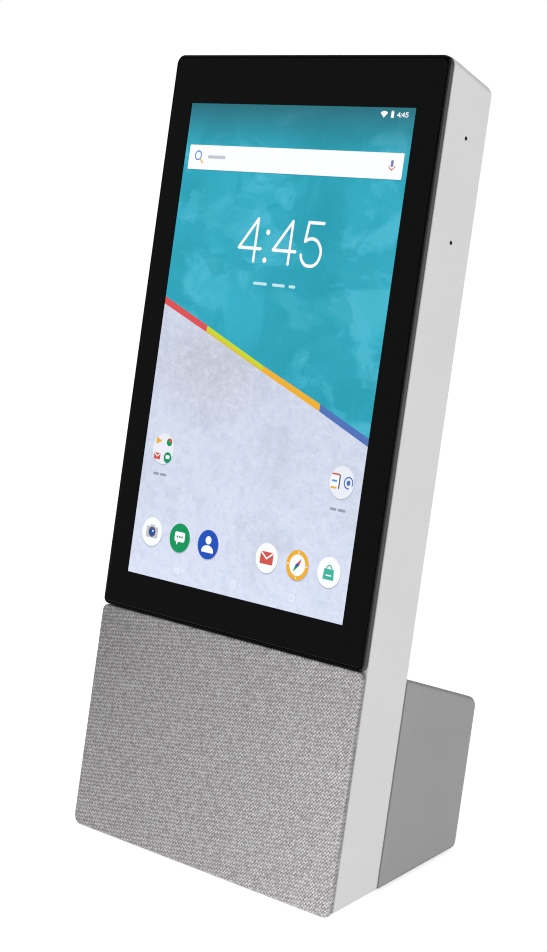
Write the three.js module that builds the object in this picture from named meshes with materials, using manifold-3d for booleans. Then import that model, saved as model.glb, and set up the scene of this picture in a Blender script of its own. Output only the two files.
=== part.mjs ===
// Portrait smart display on a wedge base.
// Units are millimetres, +Z is up, the screen faces -Y.
// The slab leans back, so most parts are drawn in a leaning group whose own
// axes are x (width), y (depth back from the front face) and z (height along
// the front face). The origin of the whole part is the centre of the
// footprint's bounding box, at the height of the surface it stands on.
import * as THREE from 'three';
import { mergeVertices } from 'three/addons/utils/BufferGeometryUtils.js';
import Module from 'manifold-3d';

const wasm = await Module();
wasm.setup();

// ---------------------------------------------------------------- dimensions
const LEAN_DEG = 17.65;           // lean of the front face from upright
const WIDTH = 114;                // full width
const FACE_TOP = 250.2;           // top edge of the front face, along the face
const FACE_BOTTOM = -0.5;         // bottom edge of the front face
const SPLIT_LOW = 72.0;           // top edge of the fabric grille
const SPLIT_HIGH = 72.4;          // bottom edge of the black panel
const PANEL_THICK = 2.1;          // black panel and grille thickness
const PANEL_CORNER = 3.0;         // corner radius of the front outline
const SHELL_CORNER = 2.6;         // corner radius of the slab's own outline
const BACK_ROUND = 1.2;           // rounding round the slab's back face
const BASE_ROUND = 1.3;           // rounding along the base's side edges
const SPLIT_CORNER = 2.0;         // corner radius where panel meets grille
const SLAB_BACK = 20.8;           // back face of the slab
const SLAB_TOP_FRONT = 250.15;    // top of the slab at its front rim
const SLAB_TOP_SLOPE_DEG = 16.7;  // slope of the top face down to the back
const WALL = 2.2;                 // shell wall
const WALL_V = 2.3;               // the same wall measured along the face
const BASE_BACK = 55.5;           // back face of the base block
const BASE_TOP_FRONT = 70.05;     // top of the base where it meets the slab
const BASE_TOP_SLOPE = 0.1798;    // fall of the base top per unit of depth
const FOOT_DROP = 0.8;            // the rubber feet stand this far below
const GAP = 0.15;                 // gap between neighbouring parts
const ACTIVE_X = 47.1;            // half width of the lit picture
const ACTIVE_LOW = 84.2;          // bottom of the lit picture
const ACTIVE_HIGH = 234.9;        // top of the lit picture
const SPEAKER_X = 22.6;             // loudspeaker centres
const SPEAKER_V = 36.8;
const MIC_DEPTH = 11.65;          // microphone pin holes on the sides
const MIC_HEIGHTS = [198.2, 228.4];
const BUTTON_S = 9.5;             // buttons' distance back along the top face
const POWER_X = 38;
const VOLUME_UP_X = 15;
const VOLUME_DOWN_X = 1;
const MUTE_X = -24;
const MUTE_TRAVEL = 2.5;
const INLET_V = 29;               // height of the power inlet on the base back

const LEAN = THREE.MathUtils.degToRad(LEAN_DEG);
const FLOOR = Math.tan(LEAN);     // the floor rises this much per unit of depth
const TOP_SLOPE = Math.tan(THREE.MathUtils.degToRad(SLAB_TOP_SLOPE_DEG));
const SLAB_FRONT = PANEL_THICK + GAP;
const HALF = WIDTH / 2;

// ---------------------------------------------------------------- materials
const look = (color, roughness, metalness = 0) =>
  () => new THREE.MeshStandardMaterial({ color, roughness, metalness });
const glassBlack = look(0x0b0b0c, 0.08);
const frameGrey = look(0x474747, 0.45);
const pictureTeal = look(0x2fa6bf, 0.3);
const filmWhite = look(0xe8e8e4, 0.5);
const steel = look(0xb9bcc0, 0.35, 0.9);
const castAlloy = look(0xa9adb1, 0.5, 0.8);
const shellWhite = look(0xdedede, 0.5);
const baseGrey = look(0x9d9d9d, 0.6);
const darkPlastic = look(0x2a2b2d, 0.6);
const clothGrey = look(0xa5a3a4, 0.95);
const boardGreen = look(0x1f5a3a, 0.5);
const foilSilver = look(0x9aa0a6, 0.4, 0.5);
const flexAmber = look(0xb5651d, 0.4);
const rubberBlack = look(0x1b1b1c, 0.9);
const coneBlack = look(0x222326, 0.7);
const foamBlack = look(0x2d2d2f, 1.0);
const wireRed = look(0x9c2b24, 0.5);
const zinc = look(0xc4c6c8, 0.35, 0.9);

// ---------------------------------------------------------------- solids
const solid = (geometry) => {
  const g = geometry.clone();
  g.deleteAttribute('normal');
  g.deleteAttribute('uv');
  const m = mergeVertices(g, 1e-5);
  return new wasm.Manifold(new wasm.Mesh({
    numProp: 3,
    vertProperties: new Float32Array(m.attributes.position.array),
    triVerts: new Uint32Array(m.index.array),
  }));
};
const surface = (body) => {
  const m = body.getMesh();
  const g = new THREE.BufferGeometry();
  g.setAttribute('position', new THREE.BufferAttribute(new Float32Array(m.vertProperties), 3));
  g.setIndex(new THREE.BufferAttribute(new Uint32Array(m.triVerts), 1));
  g.computeVertexNormals();
  return g;
};
const cut = (body, ...tools) => {
  let s = solid(body);
  for (const t of tools) s = s.subtract(solid(t));
  return surface(s);
};
const join = (body, ...others) => {
  let s = solid(body);
  for (const o of others) s = s.add(solid(o));
  return surface(s);
};
const common = (body, ...others) => {
  let s = solid(body);
  for (const o of others) s = s.intersect(solid(o));
  return surface(s);
};

// A closed outline with each corner rounded by its own radius.
const outline = (points, radii, steps = 5) => {
  const out = [];
  const count = points.length;
  for (let i = 0; i < count; i++) {
    const p = new THREE.Vector2(...points[i]);
    const a = new THREE.Vector2(...points[(i + count - 1) % count]).sub(p).normalize();
    const b = new THREE.Vector2(...points[(i + 1) % count]).sub(p).normalize();
    const r = Array.isArray(radii) ? radii[i] : radii;
    if (!r) { out.push(p); continue; }
    const half = Math.acos(THREE.MathUtils.clamp(a.dot(b), -1, 1)) / 2;
    const reach = r / Math.tan(half);
    const start = p.clone().addScaledVector(a, reach);
    const end = p.clone().addScaledVector(b, reach);
    const centre = p.clone().add(a.clone().add(b).normalize().multiplyScalar(r / Math.sin(half)));
    const a0 = Math.atan2(start.y - centre.y, start.x - centre.x);
    let da = Math.atan2(end.y - centre.y, end.x - centre.x) - a0;
    if (da > Math.PI) da -= 2 * Math.PI;
    if (da < -Math.PI) da += 2 * Math.PI;
    for (let k = 0; k <= steps; k++) {
      const t = a0 + da * k / steps;
      out.push(new THREE.Vector2(centre.x + r * Math.cos(t), centre.y + r * Math.sin(t)));
    }
  }
  return new THREE.Shape(out);
};
const rect = (x0, y0, x1, y1, radii = 0, steps = 5) =>
  outline([[x0, y0], [x1, y0], [x1, y1], [x0, y1]], radii, steps);

const extrude = (shape, depth) =>
  new THREE.ExtrudeGeometry(shape, { depth, bevelEnabled: false, curveSegments: 6, steps: 1 });

// A plate parallel to the front face: outline in (x, height), from depth y0 to y1.
const plate = (shape, y0, y1) =>
  extrude(shape, y1 - y0).rotateX(Math.PI / 2).translate(0, y1, 0);
// A bar along the width: outline in (depth, height), from x0 to x1.
const bar = (shape, x0, x1) => {
  const g = extrude(shape, x1 - x0);
  g.applyMatrix4(new THREE.Matrix4().set(
    0, 0, 1, x0,
    1, 0, 0, 0,
    0, 1, 0, 0,
    0, 0, 0, 1));
  return g;
};
// A prism along the height: outline in (x, depth), from z0 to z1.
const post = (shape, z0, z1) => extrude(shape, z1 - z0).translate(0, 0, z0);
const box = (x0, y0, z0, x1, y1, z1) =>
  new THREE.BoxGeometry(x1 - x0, y1 - y0, z1 - z0)
    .translate((x0 + x1) / 2, (y0 + y1) / 2, (z0 + z1) / 2);
// A round rod along the depth axis.
const rod = (r, y0, y1, x, z, sides = 16) =>
  new THREE.CylinderGeometry(r, r, y1 - y0, sides).translate(x, (y0 + y1) / 2, z);
// A turned part about the depth axis: profile of [radius, depth].
const turned = (profile, sides = 18) =>
  new THREE.LatheGeometry(profile.map((p) => new THREE.Vector2(...p)), sides);
// Tip every point at depth y down by slope * (y - y0).
const shear = (geometry, slope, y0) =>
  geometry.applyMatrix4(new THREE.Matrix4().set(
    1, 0, 0, 0,
    0, 1, 0, 0,
    0, -slope, 1, slope * y0,
    0, 0, 0, 1));
const floorAt = (y, lift = 0) => y * FLOOR + lift;

const root = new THREE.Group();
const slab = new THREE.Group();
slab.rotation.x = -LEAN;
const standing = new THREE.Group();
root.add(slab, standing);
const top = new THREE.Group();
top.position.set(0, SLAB_FRONT, SLAB_TOP_FRONT);
top.rotation.x = -THREE.MathUtils.degToRad(SLAB_TOP_SLOPE_DEG);
slab.add(top);

const put = (parent, name, geometry, material, x = 0, y = 0, z = 0) => {
  const mesh = new THREE.Mesh(geometry, material());
  mesh.name = name;
  mesh.position.set(x, y, z);
  parent.add(mesh);
  return mesh;
};

// ---------------------------------------------------------------- display
const panelShape = (inset) => rect(
  -HALF + inset, SPLIT_HIGH + inset, HALF - inset, FACE_TOP - inset,
  [SPLIT_CORNER - inset * 0.6, SPLIT_CORNER - inset * 0.6,
    PANEL_CORNER - inset * 0.6, PANEL_CORNER - inset * 0.6]);

put(slab, 'cover_glass', plate(panelShape(0.85), 0, 0.85), glassBlack);

// Frame: rim round the glass, a ledge behind it and a skirt into the housing.
const ledge = 1.0;
put(slab, 'display_frame', join(
  cut(plate(panelShape(0), 0.12, PANEL_THICK),
    plate(panelShape(0.65), -1, ledge),
    plate(rect(-50, 81, 50, 238, 0.6, 2), -1, 5)),
  cut(plate(rect(-54.4, 74.5, 54.4, 245.5, 2, 3), PANEL_THICK - 0.3, 5.6),
    plate(rect(-53.2, 75.7, 53.2, 244.3, 1, 3), 0, 7))), frameGrey);

put(slab, 'lcd_panel', plate(rect(-49.6, 81.4, 49.6, 237.6, 0.4, 2), 1.1, 2.3), pictureTeal);
put(slab, 'backlight_unit', plate(rect(-50.6, 80.4, 50.6, 238.6, 0.6, 2), 2.5, 4.2), filmWhite);
put(slab, 'backlight_tray', cut(
  plate(rect(-51.5, 79.5, 51.5, 239.5, 1, 2), 2.5, 4.9),
  plate(rect(-51.1, 79.9, 51.1, 239.1, 0.8, 2), 1, 4.5)), steel);

const MID_Y0 = 6.4, MID_Y1 = 7.6;
const midScrews = [[-50.5, 79.5], [50.5, 79.5], [50.5, 232], [-50.5, 232]];
const midHoles = midScrews.map(([x, v]) => rod(1.2, 5, 9, x, v, 12));
const midWindows = [];
for (const x of [-38, -13, 13, 38]) {
  for (const v of [92, 212]) midWindows.push(plate(rect(x - 9, v - 8, x + 9, v + 8, 2, 3), 5, 9));
}
put(slab, 'midframe', cut(
  join(plate(rect(-54.2, 75.5, 54.2, 236.5, 2, 3), MID_Y0, MID_Y1),
    box(-30, MID_Y1 - 0.3, 146.2, 44, MID_Y1 + 1.4, 147.2),
    box(-46, MID_Y1 - 0.3, 81.4, 46, MID_Y1 + 1.4, 82.4)),
  ...midHoles, ...midWindows,
  plate(rect(-11.5, 150.5, 11.5, 154.5, 0.8, 2), 5, 9)), castAlloy);
// Flat flex: down the back of the tray, through the midframe, onto the board.
put(slab, 'display_flex', bar(outline([
  [5.3, 116], [5.6, 116], [5.6, 151.9], [9.0, 152.3], [9.0, 152.6], [5.3, 152.2],
], 0), -10, 10), flexAmber);
midScrews.forEach(([x, v], i) => put(slab, `midframe_screw_${i + 1}`, turned([
  [0, 5.35], [1.7, 5.35], [2.0, 5.6], [2.0, 6.25], [0.9, 6.25], [0.9, 12], [0, 12.5],
], 10), zinc, x, 0, v));

// ---------------------------------------------------------------- slab housing
const slabOuter = common(
  shear(plate(rect(-HALF, -40, HALF, SLAB_TOP_FRONT, [0, 0, SHELL_CORNER, SHELL_CORNER]),
    SLAB_FRONT, SLAB_BACK), TOP_SLOPE, SLAB_FRONT),
  bar(outline([
    [0, 0], [SLAB_BACK, floorAt(SLAB_BACK)],
    [SLAB_BACK, SLAB_TOP_FRONT - TOP_SLOPE * (SLAB_BACK - SLAB_FRONT)],
    [0, SLAB_TOP_FRONT + TOP_SLOPE * SLAB_FRONT],
  ], [0, 0, BACK_ROUND, 0], 4), -HALF - 1, HALF + 1),
  post(rect(-HALF, -5, HALF, SLAB_BACK, [0, 0, BACK_ROUND, BACK_ROUND], 4), -60, 270));
const slabCavity = bar(outline([
  [-2, floorAt(-2, WALL_V)], [SLAB_BACK - 2, floorAt(SLAB_BACK - 2, WALL_V)],
  [SLAB_BACK - 2, SLAB_TOP_FRONT - WALL_V - TOP_SLOPE * (SLAB_BACK - 2 - SLAB_FRONT)],
  [-2, SLAB_TOP_FRONT - WALL_V + TOP_SLOPE * (SLAB_FRONT + 2)],
], 0), -HALF + WALL, HALF - WALL);
const baffleScrews = [[-49, 62.5], [49, 62.5]];
// Openings in the top face, drawn in the top face's own axes.
const onTop = (geometry) => geometry
  .rotateX(-THREE.MathUtils.degToRad(SLAB_TOP_SLOPE_DEG))
  .translate(0, SLAB_FRONT, SLAB_TOP_FRONT);
const stadium = (x, y, length, width, z0, z1) =>
  post(rect(x - length / 2, y - width / 2, x + length / 2, y + width / 2, width / 2 - 0.01, 6), z0, z1);
const BUTTON_L = 9.4, BUTTON_W = 3.0;
const KNOB_L = 4.2, KNOB_W = 2.8;
const topHoles = [
  ...[POWER_X, VOLUME_UP_X, VOLUME_DOWN_X].map((x) =>
    onTop(stadium(x, BUTTON_S, BUTTON_L + 0.6, BUTTON_W + 0.6, -4, 2))),
  onTop(stadium(MUTE_X, BUTTON_S, KNOB_L + MUTE_TRAVEL + 0.8, KNOB_W + 0.6, -4, 2)),
];
const micHoles = [];
for (const v of MIC_HEIGHTS) {
  for (const s of [-1, 1]) {
    micHoles.push(new THREE.CylinderGeometry(0.6, 0.6, 6, 10).rotateZ(Math.PI / 2)
      .translate(s * (HALF - 1), MIC_DEPTH, v));
  }
}
// Pocket for the front foot, level with the standing surface.
const level = (geometry) => geometry.rotateX(LEAN);
const FOOT_FRONT = [5.0, 11.0], FOOT_REAR = [48.2, 54.5], FOOT_X = 42;
let housing = solid(slabOuter).subtract(solid(slabCavity));
for (const [x, v] of midScrews) housing = housing.add(solid(rod(2.4, MID_Y1 + 0.3, SLAB_BACK - 1.5, x, v)));
for (const [x, v] of baffleScrews) housing = housing.add(solid(rod(2.2, 8.3, SLAB_BACK - 1.5, x, v)));
for (const [x, v] of midScrews) housing = housing.subtract(solid(rod(1.1, 5, 14, x, v, 12)));
for (const [x, v] of baffleScrews) housing = housing.subtract(solid(rod(1.1, 5, 14, x, v, 12)));
for (const h of [...topHoles, ...micHoles]) housing = housing.subtract(solid(h));
housing = housing.subtract(solid(plate(rect(-44.5, 14, 44.5, 64, 3, 3), 15, 25)));
housing = housing.subtract(solid(level(post(
  rect(-FOOT_X - 0.2, FOOT_FRONT[0] - 0.2, FOOT_X + 0.2, FOOT_FRONT[1] + 0.2, 2.7, 5), -3, 0.65))));
put(slab, 'slab_housing', surface(housing), shellWhite);

// ---------------------------------------------------------------- electronics
put(slab, 'battery_pack', plate(rect(-40, 85, 40, 144, 3, 4), 9.4, 14.6), foilSilver);
put(slab, 'main_board', cut(plate(rect(-47, 150, 47, 230, 2, 3), 9.3, 10.4),
  rod(1.4, 8, 12, -43, 154, 12), rod(1.4, 8, 12, 43, 154, 12),
  rod(1.4, 8, 12, -43, 226, 12), rod(1.4, 8, 12, 43, 226, 12)), boardGreen);
put(slab, 'shield_can_processor', plate(rect(-34, 178, 2, 212, 1, 2), 10.6, 12.8), zinc);
put(slab, 'shield_can_radio', plate(rect(12, 186, 34, 212, 1, 2), 10.6, 12.6), zinc);
put(slab, 'heat_spreader', plate(rect(-42, 170, 8, 220, 2, 3), 13.0, 13.8), castAlloy);
put(slab, 'mic_board_left', box(-54.3, 9, 193, -53.3, 14.2, 233), boardGreen);
put(slab, 'mic_board_right', box(53.3, 9, 193, 54.3, 14.2, 233), boardGreen);
put(slab, 'antenna_left', box(-54.3, 9.5, 120, -53.7, 15.5, 172), flexAmber);
put(slab, 'antenna_right', box(53.7, 9.5, 120, 54.3, 15.5, 172), flexAmber);

// ---------------------------------------------------------------- top controls
put(top, 'button_board', box(-32, 6.6, -7.4, 46, 15.4, -6.2), boardGreen);
const button = () => join(
  stadium(0, 0, BUTTON_L, BUTTON_W, -2.9, 0.55),
  stadium(0, 0, BUTTON_L + 2.2, BUTTON_W + 2.2, -3.1, -2.5),
  new THREE.CylinderGeometry(0.9, 0.9, 0.6, 12).rotateX(Math.PI / 2).translate(0, 0, -3.25));
const tact = () => join(
  new THREE.BoxGeometry(5, 5, 1.6).translate(0, 0, -5.25),
  new THREE.CylinderGeometry(1.2, 1.2, 0.7, 14).rotateX(Math.PI / 2).translate(0, 0, -4.3));
put(top, 'power_button', button(), shellWhite, POWER_X, BUTTON_S, 0);
put(top, 'volume_up_button', button(), shellWhite, VOLUME_UP_X, BUTTON_S, 0);
put(top, 'volume_down_button', button(), shellWhite, VOLUME_DOWN_X, BUTTON_S, 0);
put(top, 'power_switch', tact(), steel, POWER_X, BUTTON_S, 0);
put(top, 'volume_up_switch', tact(), steel, VOLUME_UP_X, BUTTON_S, 0);
put(top, 'volume_down_switch', tact(), steel, VOLUME_DOWN_X, BUTTON_S, 0);
// Slider: knob in its slot, a cover flange under the wall.
put(top, 'mic_mute_slider', join(
  stadium(0, 0, KNOB_L, KNOB_W, -2.9, 0.45),
  new THREE.BoxGeometry(13.5, 5.4, 0.6).translate(0, 0, -2.8)),
rubberBlack, MUTE_X - MUTE_TRAVEL / 2, BUTTON_S, 0);
put(top, 'mute_switch', new THREE.BoxGeometry(9, 4.4, 2.3).translate(0, 0, -4.9), steel,
  MUTE_X, BUTTON_S, 0);

// ---------------------------------------------------------------- grille
const grilleShape = (inset, corner = 1) => rect(
  -HALF + inset, FACE_BOTTOM + inset, HALF - inset, SPLIT_LOW - inset,
  [PANEL_CORNER * corner, PANEL_CORNER * corner, SPLIT_CORNER * corner, SPLIT_CORNER * corner]);
put(slab, 'grille_cloth', plate(grilleShape(0), 0, 0.85), clothGrey);
const slots = [];
for (const s of [-1, 1]) {
  for (let row = -2; row <= 2; row++) {
    for (let col = -1; col <= 1; col++) {
      const x = s * SPEAKER_X + col * 12.4, v = SPEAKER_V + row * 6.4;
      slots.push(plate(outline([[x - 5, v], [x - 4, v - 1.1], [x + 4, v - 1.1],
        [x + 5, v], [x + 4, v + 1.1], [x - 4, v + 1.1]], 0), 0, 4));
    }
  }
}
put(slab, 'grille_carrier', join(
  cut(plate(grilleShape(0.6, 0.8), 1.0, PANEL_THICK - 0.05), ...slots),
  cut(plate(rect(-54.4, 4.2, 54.4, 70.2, 2, 3), PANEL_THICK - 0.5, 4.2),
    plate(rect(-53.4, 5.2, 53.4, 69.2, 1.2, 3), 0, 6))), darkPlastic);

// ---------------------------------------------------------------- loudspeakers
const baffleFront = 6.0, baffleBack = 8.0;
put(slab, 'baffle_gasket', cut(plate(rect(-52.9, 5.9, 52.9, 68.7, 1.5, 3), 2.5, 5.8),
  plate(rect(-51.3, 7.5, 51.3, 67.1, 1, 3), 0, 8)), foamBlack);
put(slab, 'speaker_baffle', cut(plate(rect(-54, 6.2, 54, 68, 2, 3), baffleFront, baffleBack),
  rod(18.8, 5, 9, -SPEAKER_X, SPEAKER_V, 24), rod(18.8, 5, 9, SPEAKER_X, SPEAKER_V, 24),
  ...baffleScrews.map(([x, v]) => rod(1.2, 5, 9, x, v, 12))), darkPlastic);
baffleScrews.forEach(([x, v], i) => put(slab, `baffle_screw_${i + 1}`, turned([
  [0, 4.6], [1.6, 4.6], [1.9, 4.9], [1.9, 5.85], [0.9, 5.85], [0.9, 12.5], [0, 13],
], 10), zinc, x, 0, v));
// Sealed box behind the baffle, reaching into the base through the slab's back.
put(slab, 'speaker_enclosure', cut(
  bar(outline([[8.3, 16], [45, 24], [45, 57], [8.3, 57]], [0, 2, 2, 0], 3), -43.5, 43.5),
  bar(outline([[6, 17.4], [43.2, 25.6], [43.2, 55.2], [6, 55.2]], 0), -41.7, 41.7)), darkPlastic);
const frameProfile = [
  [16.6, 4.6], [21.4, 4.6], [21.4, 5.8], [18.4, 5.8], [18.4, 7.6], [13.6, 16.4],
  [13.6, 17.6], [11.6, 17.6], [11.6, 15.8], [17.0, 8.6], [16.6, 8.6], [16.6, 4.6]];
const surroundProfile = [
  [13.7, 5.2], [14.3, 4.5], [15.0, 4.2], [15.7, 4.5], [16.3, 5.2], [16.3, 5.8],
  [15.8, 5.8], [15.6, 5.2], [15.0, 4.8], [14.4, 5.2], [14.2, 5.8], [13.7, 5.8], [13.7, 5.2]];
const coneProfile = [
  [0, 6.4], [2.6, 6.6], [4.6, 7.4], [5.2, 8.0], [13.4, 5.3], [13.4, 5.9], [6.5, 9.2],
  [6.5, 15.6], [6.0, 15.6], [6.0, 9.4], [4.4, 8.1], [2.4, 7.3], [0, 7.1]];
const magnetProfile = [
  [0, 15.0], [5.4, 15.0], [5.4, 24.6], [7.1, 24.6], [7.1, 18.0], [13.4, 18.0],
  [13.4, 27.0], [0, 27.0]];
for (const [side, s] of [['left', -1], ['right', 1]]) {
  put(slab, `speaker_${side}_frame`, turned(frameProfile), steel, s * SPEAKER_X, 0, SPEAKER_V);
  put(slab, `speaker_${side}_surround`, turned(surroundProfile), rubberBlack, s * SPEAKER_X, 0, SPEAKER_V);
  put(slab, `speaker_${side}_cone`, turned(coneProfile), coneBlack, s * SPEAKER_X, 0, SPEAKER_V);
  put(slab, `speaker_${side}_magnet`, turned(magnetProfile), zinc, s * SPEAKER_X, 0, SPEAKER_V);
}

// ---------------------------------------------------------------- wiring
const wire = (points, r) => {
  const path = new THREE.CatmullRomCurve3(points.map((p) => new THREE.Vector3(...p)), false, 'centripetal');
  const ring = [];
  for (let k = 0; k < 6; k++) ring.push(new THREE.Vector2(r * Math.cos(k * Math.PI / 3), r * Math.sin(k * Math.PI / 3)));
  return new THREE.ExtrudeGeometry(new THREE.Shape(ring), { steps: 18, bevelEnabled: false, extrudePath: path });
};
for (const [side, s] of [['left', -1], ['right', 1]]) {
  put(slab, `speaker_lead_${side}`, wire([
    [s * 45.4, 10, 60], [s * 45.6, 10.6, 72], [s * 45, 12, 100], [s * 44.6, 12, 130], [s * 44.6, 11.4, 149.4],
  ], 0.7), wireRed);
}
put(slab, 'power_harness', wire([
  [11, 47.4, 42], [11, 47.6, 52], [11, 46, 59], [11, 38, 61.2], [11, 26, 60.2], [11, 19.5, 59.6],
  [11, 15.4, 66], [11, 16.2, 90], [11, 16.3, 130], [11, 15.8, 148], [11, 13.4, 156],
], 0.9), wireRed);

// ---------------------------------------------------------------- base
const BASE_FRONT = SLAB_BACK + GAP;
const baseOuter = common(
  shear(plate(rect(-HALF, -40, HALF, BASE_TOP_FRONT, [0, 0, BASE_ROUND, BASE_ROUND], 4),
    BASE_FRONT, BASE_BACK), BASE_TOP_SLOPE, BASE_FRONT),
  bar(outline([
    [BASE_FRONT, floorAt(BASE_FRONT)], [BASE_BACK, floorAt(BASE_BACK)],
    [BASE_BACK, BASE_TOP_FRONT - BASE_TOP_SLOPE * (BASE_BACK - BASE_FRONT)],
    [BASE_FRONT, BASE_TOP_FRONT],
  ], [0, 2, 3.3, 0]), -HALF - 1, HALF + 1),
  post(rect(-HALF, 0, HALF, BASE_BACK, [0, 0, BASE_ROUND, BASE_ROUND], 4), -60, 120));
let base = solid(baseOuter).subtract(solid(bar(outline([
  [10, -30], [BASE_BACK - WALL, -30],
  [BASE_BACK - WALL, BASE_TOP_FRONT - WALL_V - BASE_TOP_SLOPE * (BASE_BACK - WALL - BASE_FRONT)],
  [10, BASE_TOP_FRONT - WALL_V + BASE_TOP_SLOPE * 10],
], 0), -HALF + WALL, HALF - WALL)));
// Upright bosses for the bottom plate, grown onto the side walls.
const bottomScrews = [[-51.4, 29], [51.4, 29], [51.4, 45], [-51.4, 45]];
const upright = (r, z0, z1, x, y, sides = 14) =>
  new THREE.CylinderGeometry(r, r, z1 - z0, sides).rotateX(Math.PI / 2).translate(x, y, (z0 + z1) / 2);
for (const [x, y] of bottomScrews) base = base.add(solid(level(upright(3.6, 2.2, 11, x, y))));
for (const [x, y] of bottomScrews) base = base.subtract(solid(level(upright(1.1, 0, 9, x, y, 12))));
base = base.intersect(solid(baseOuter));
base = base.subtract(solid(plate(rect(-4.9, INLET_V - 2.1, 4.9, INLET_V + 2.1, 2.0, 5), BASE_BACK - 6, BASE_BACK + 2)));
put(slab, 'base_housing', surface(base), baseGrey);

put(slab, 'port_board', plate(rect(-14, 22.5, 14, 40, 1, 2), 48.6, 49.7), boardGreen);
put(slab, 'usb_port_shell', cut(plate(rect(-4.5, INLET_V - 1.65, 4.5, INLET_V + 1.65, 1.6, 5), 49.9, 55.0),
  cut(plate(rect(-4.15, INLET_V - 1.3, 4.15, INLET_V + 1.3, 1.25, 5), 50.9, 57),
    box(-3.3, 50.5, INLET_V - 0.35, 3.3, 54.4, INLET_V + 0.35))), steel);

// ---------------------------------------------------------------- underside
const PLATE_Y0 = 23.0, PLATE_Y1 = 55.3;
put(standing, 'bottom_plate', cut(
  post(rect(-54.4, PLATE_Y0, 54.4, PLATE_Y1, 1.5, 4), 0.1, 1.9),
  post(rect(-FOOT_X - 0.2, FOOT_REAR[0] - 0.2, FOOT_X + 0.2, FOOT_REAR[1] + 0.2, 2.7, 5), -2, 0.65),
  ...bottomScrews.map(([x, y]) => upright(1.3, -1, 3, x, y, 12)),
  ...bottomScrews.map(([x, y]) => upright(2.4, -1, 1.15, x, y, 14))), darkPlastic);
put(standing, 'foot_front', post(rect(-FOOT_X, FOOT_FRONT[0], FOOT_X, FOOT_FRONT[1], 2.5, 5),
  -FOOT_DROP, 0.45), rubberBlack);
put(standing, 'foot_rear', post(rect(-FOOT_X, FOOT_REAR[0], FOOT_X, FOOT_REAR[1], 2.5, 5),
  -FOOT_DROP, 0.45), rubberBlack);
bottomScrews.forEach(([x, y], i) => put(standing, `bottom_screw_${i + 1}`, turned([
  [0, 0.2], [1.8, 0.2], [2.1, 0.45], [2.1, 1.0], [0.85, 1.0], [0.85, 7.4], [0, 8],
], 10).rotateX(Math.PI / 2), zinc, x, y, 0));

// ---------------------------------------------------------------- placement
root.updateMatrixWorld(true);
const extent = new THREE.Box3().setFromObject(root, true);
root.position.set(0, -(extent.min.y + extent.max.y) / 2, -extent.min.z);
root.updateMatrixWorld(true);

export default root;
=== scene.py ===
import math

import bmesh
import bpy
import numpy as np
from mathutils import Matrix, Vector


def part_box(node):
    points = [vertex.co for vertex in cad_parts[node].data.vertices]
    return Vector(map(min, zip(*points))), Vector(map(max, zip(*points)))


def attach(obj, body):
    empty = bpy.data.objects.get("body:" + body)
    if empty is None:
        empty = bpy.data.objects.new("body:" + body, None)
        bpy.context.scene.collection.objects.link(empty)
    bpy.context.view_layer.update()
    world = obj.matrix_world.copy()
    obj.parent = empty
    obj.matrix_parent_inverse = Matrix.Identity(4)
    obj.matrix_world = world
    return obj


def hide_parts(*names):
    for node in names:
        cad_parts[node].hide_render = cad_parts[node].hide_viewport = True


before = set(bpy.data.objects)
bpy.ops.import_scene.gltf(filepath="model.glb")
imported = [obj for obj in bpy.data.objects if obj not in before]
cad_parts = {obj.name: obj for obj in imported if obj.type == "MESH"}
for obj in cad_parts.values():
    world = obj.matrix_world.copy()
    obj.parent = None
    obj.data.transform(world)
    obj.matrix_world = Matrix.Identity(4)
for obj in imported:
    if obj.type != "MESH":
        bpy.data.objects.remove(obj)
bpy.context.view_layer.update()
scene = bpy.context.scene

# ------------------------------------------------------------------ axes
LEAN = math.radians(17.65)
SLOPE = math.radians(16.7)
FLOOR = math.tan(LEAN)
foot_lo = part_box("foot_rear")[0]
OY, OZ = foot_lo.y - 0.0482, foot_lo.z + 0.0008
M_STAND = Matrix.Translation((0, OY, OZ))
M_SLAB = M_STAND @ Matrix.Rotation(-LEAN, 4, "X")
M_TOP = M_SLAB @ Matrix.Translation((0, 0.00225, 0.25015)) @ Matrix.Rotation(-SLOPE, 4, "X")
TOP_MM = Matrix.Translation((0, 2.25, 250.15)) @ Matrix.Rotation(-SLOPE, 4, "X")
STAND_MM = Matrix.Rotation(LEAN, 4, "X")  # standing axes -> leaning axes, in mm


# ------------------------------------------------------------------ mesh code
def outline(points, radii, inset=0.0, steps=8):
    """Convex outline (counter-clockwise) with its edges moved in and its corners rounded."""
    p = np.array(points, float)
    k = len(p)
    ins = np.full(k, float(inset)) if np.isscalar(inset) else np.array(inset, float)
    d = np.roll(p, -1, 0) - p
    d /= np.linalg.norm(d, axis=1)[:, None]
    q = p + np.stack([-d[:, 1], d[:, 0]], 1) * ins[:, None]
    out = []
    for i in range(k):
        j = (i - 1) % k
        t = np.linalg.solve(np.array([d[j], -d[i]]).T, q[i] - q[j])
        c = q[j] + d[j] * t[0]
        r = max(radii[i] - 0.5 * (ins[i] + ins[j]), 0.03)
        u1, u2 = -d[j], d[i]
        half = math.acos(max(-1, min(1, float(u1 @ u2)))) / 2
        a, b = c + u1 * r / math.tan(half), c + u2 * r / math.tan(half)
        bis = (u1 + u2) / np.linalg.norm(u1 + u2)
        o = c + bis * r / math.sin(half)
        a0 = math.atan2(*(a - o)[::-1])
        sweep = math.atan2(*(b - o)[::-1]) - a0
        sweep = (sweep + math.pi) % (2 * math.pi) - math.pi
        for s in range(steps + 1):
            t = a0 + sweep * s / steps
            out.append(o + r * np.array([math.cos(t), math.sin(t)]))
    return np.array(out)


def rect(x0, y0, x1, y1):
    return [(x0, y0), (x1, y0), (x1, y1), (x0, y1)]


def at_n(o, n):
    """outline in (x, v) set at depth n"""
    return np.stack([o[:, 0], np.full(len(o), n), o[:, 1]], 1)


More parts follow.
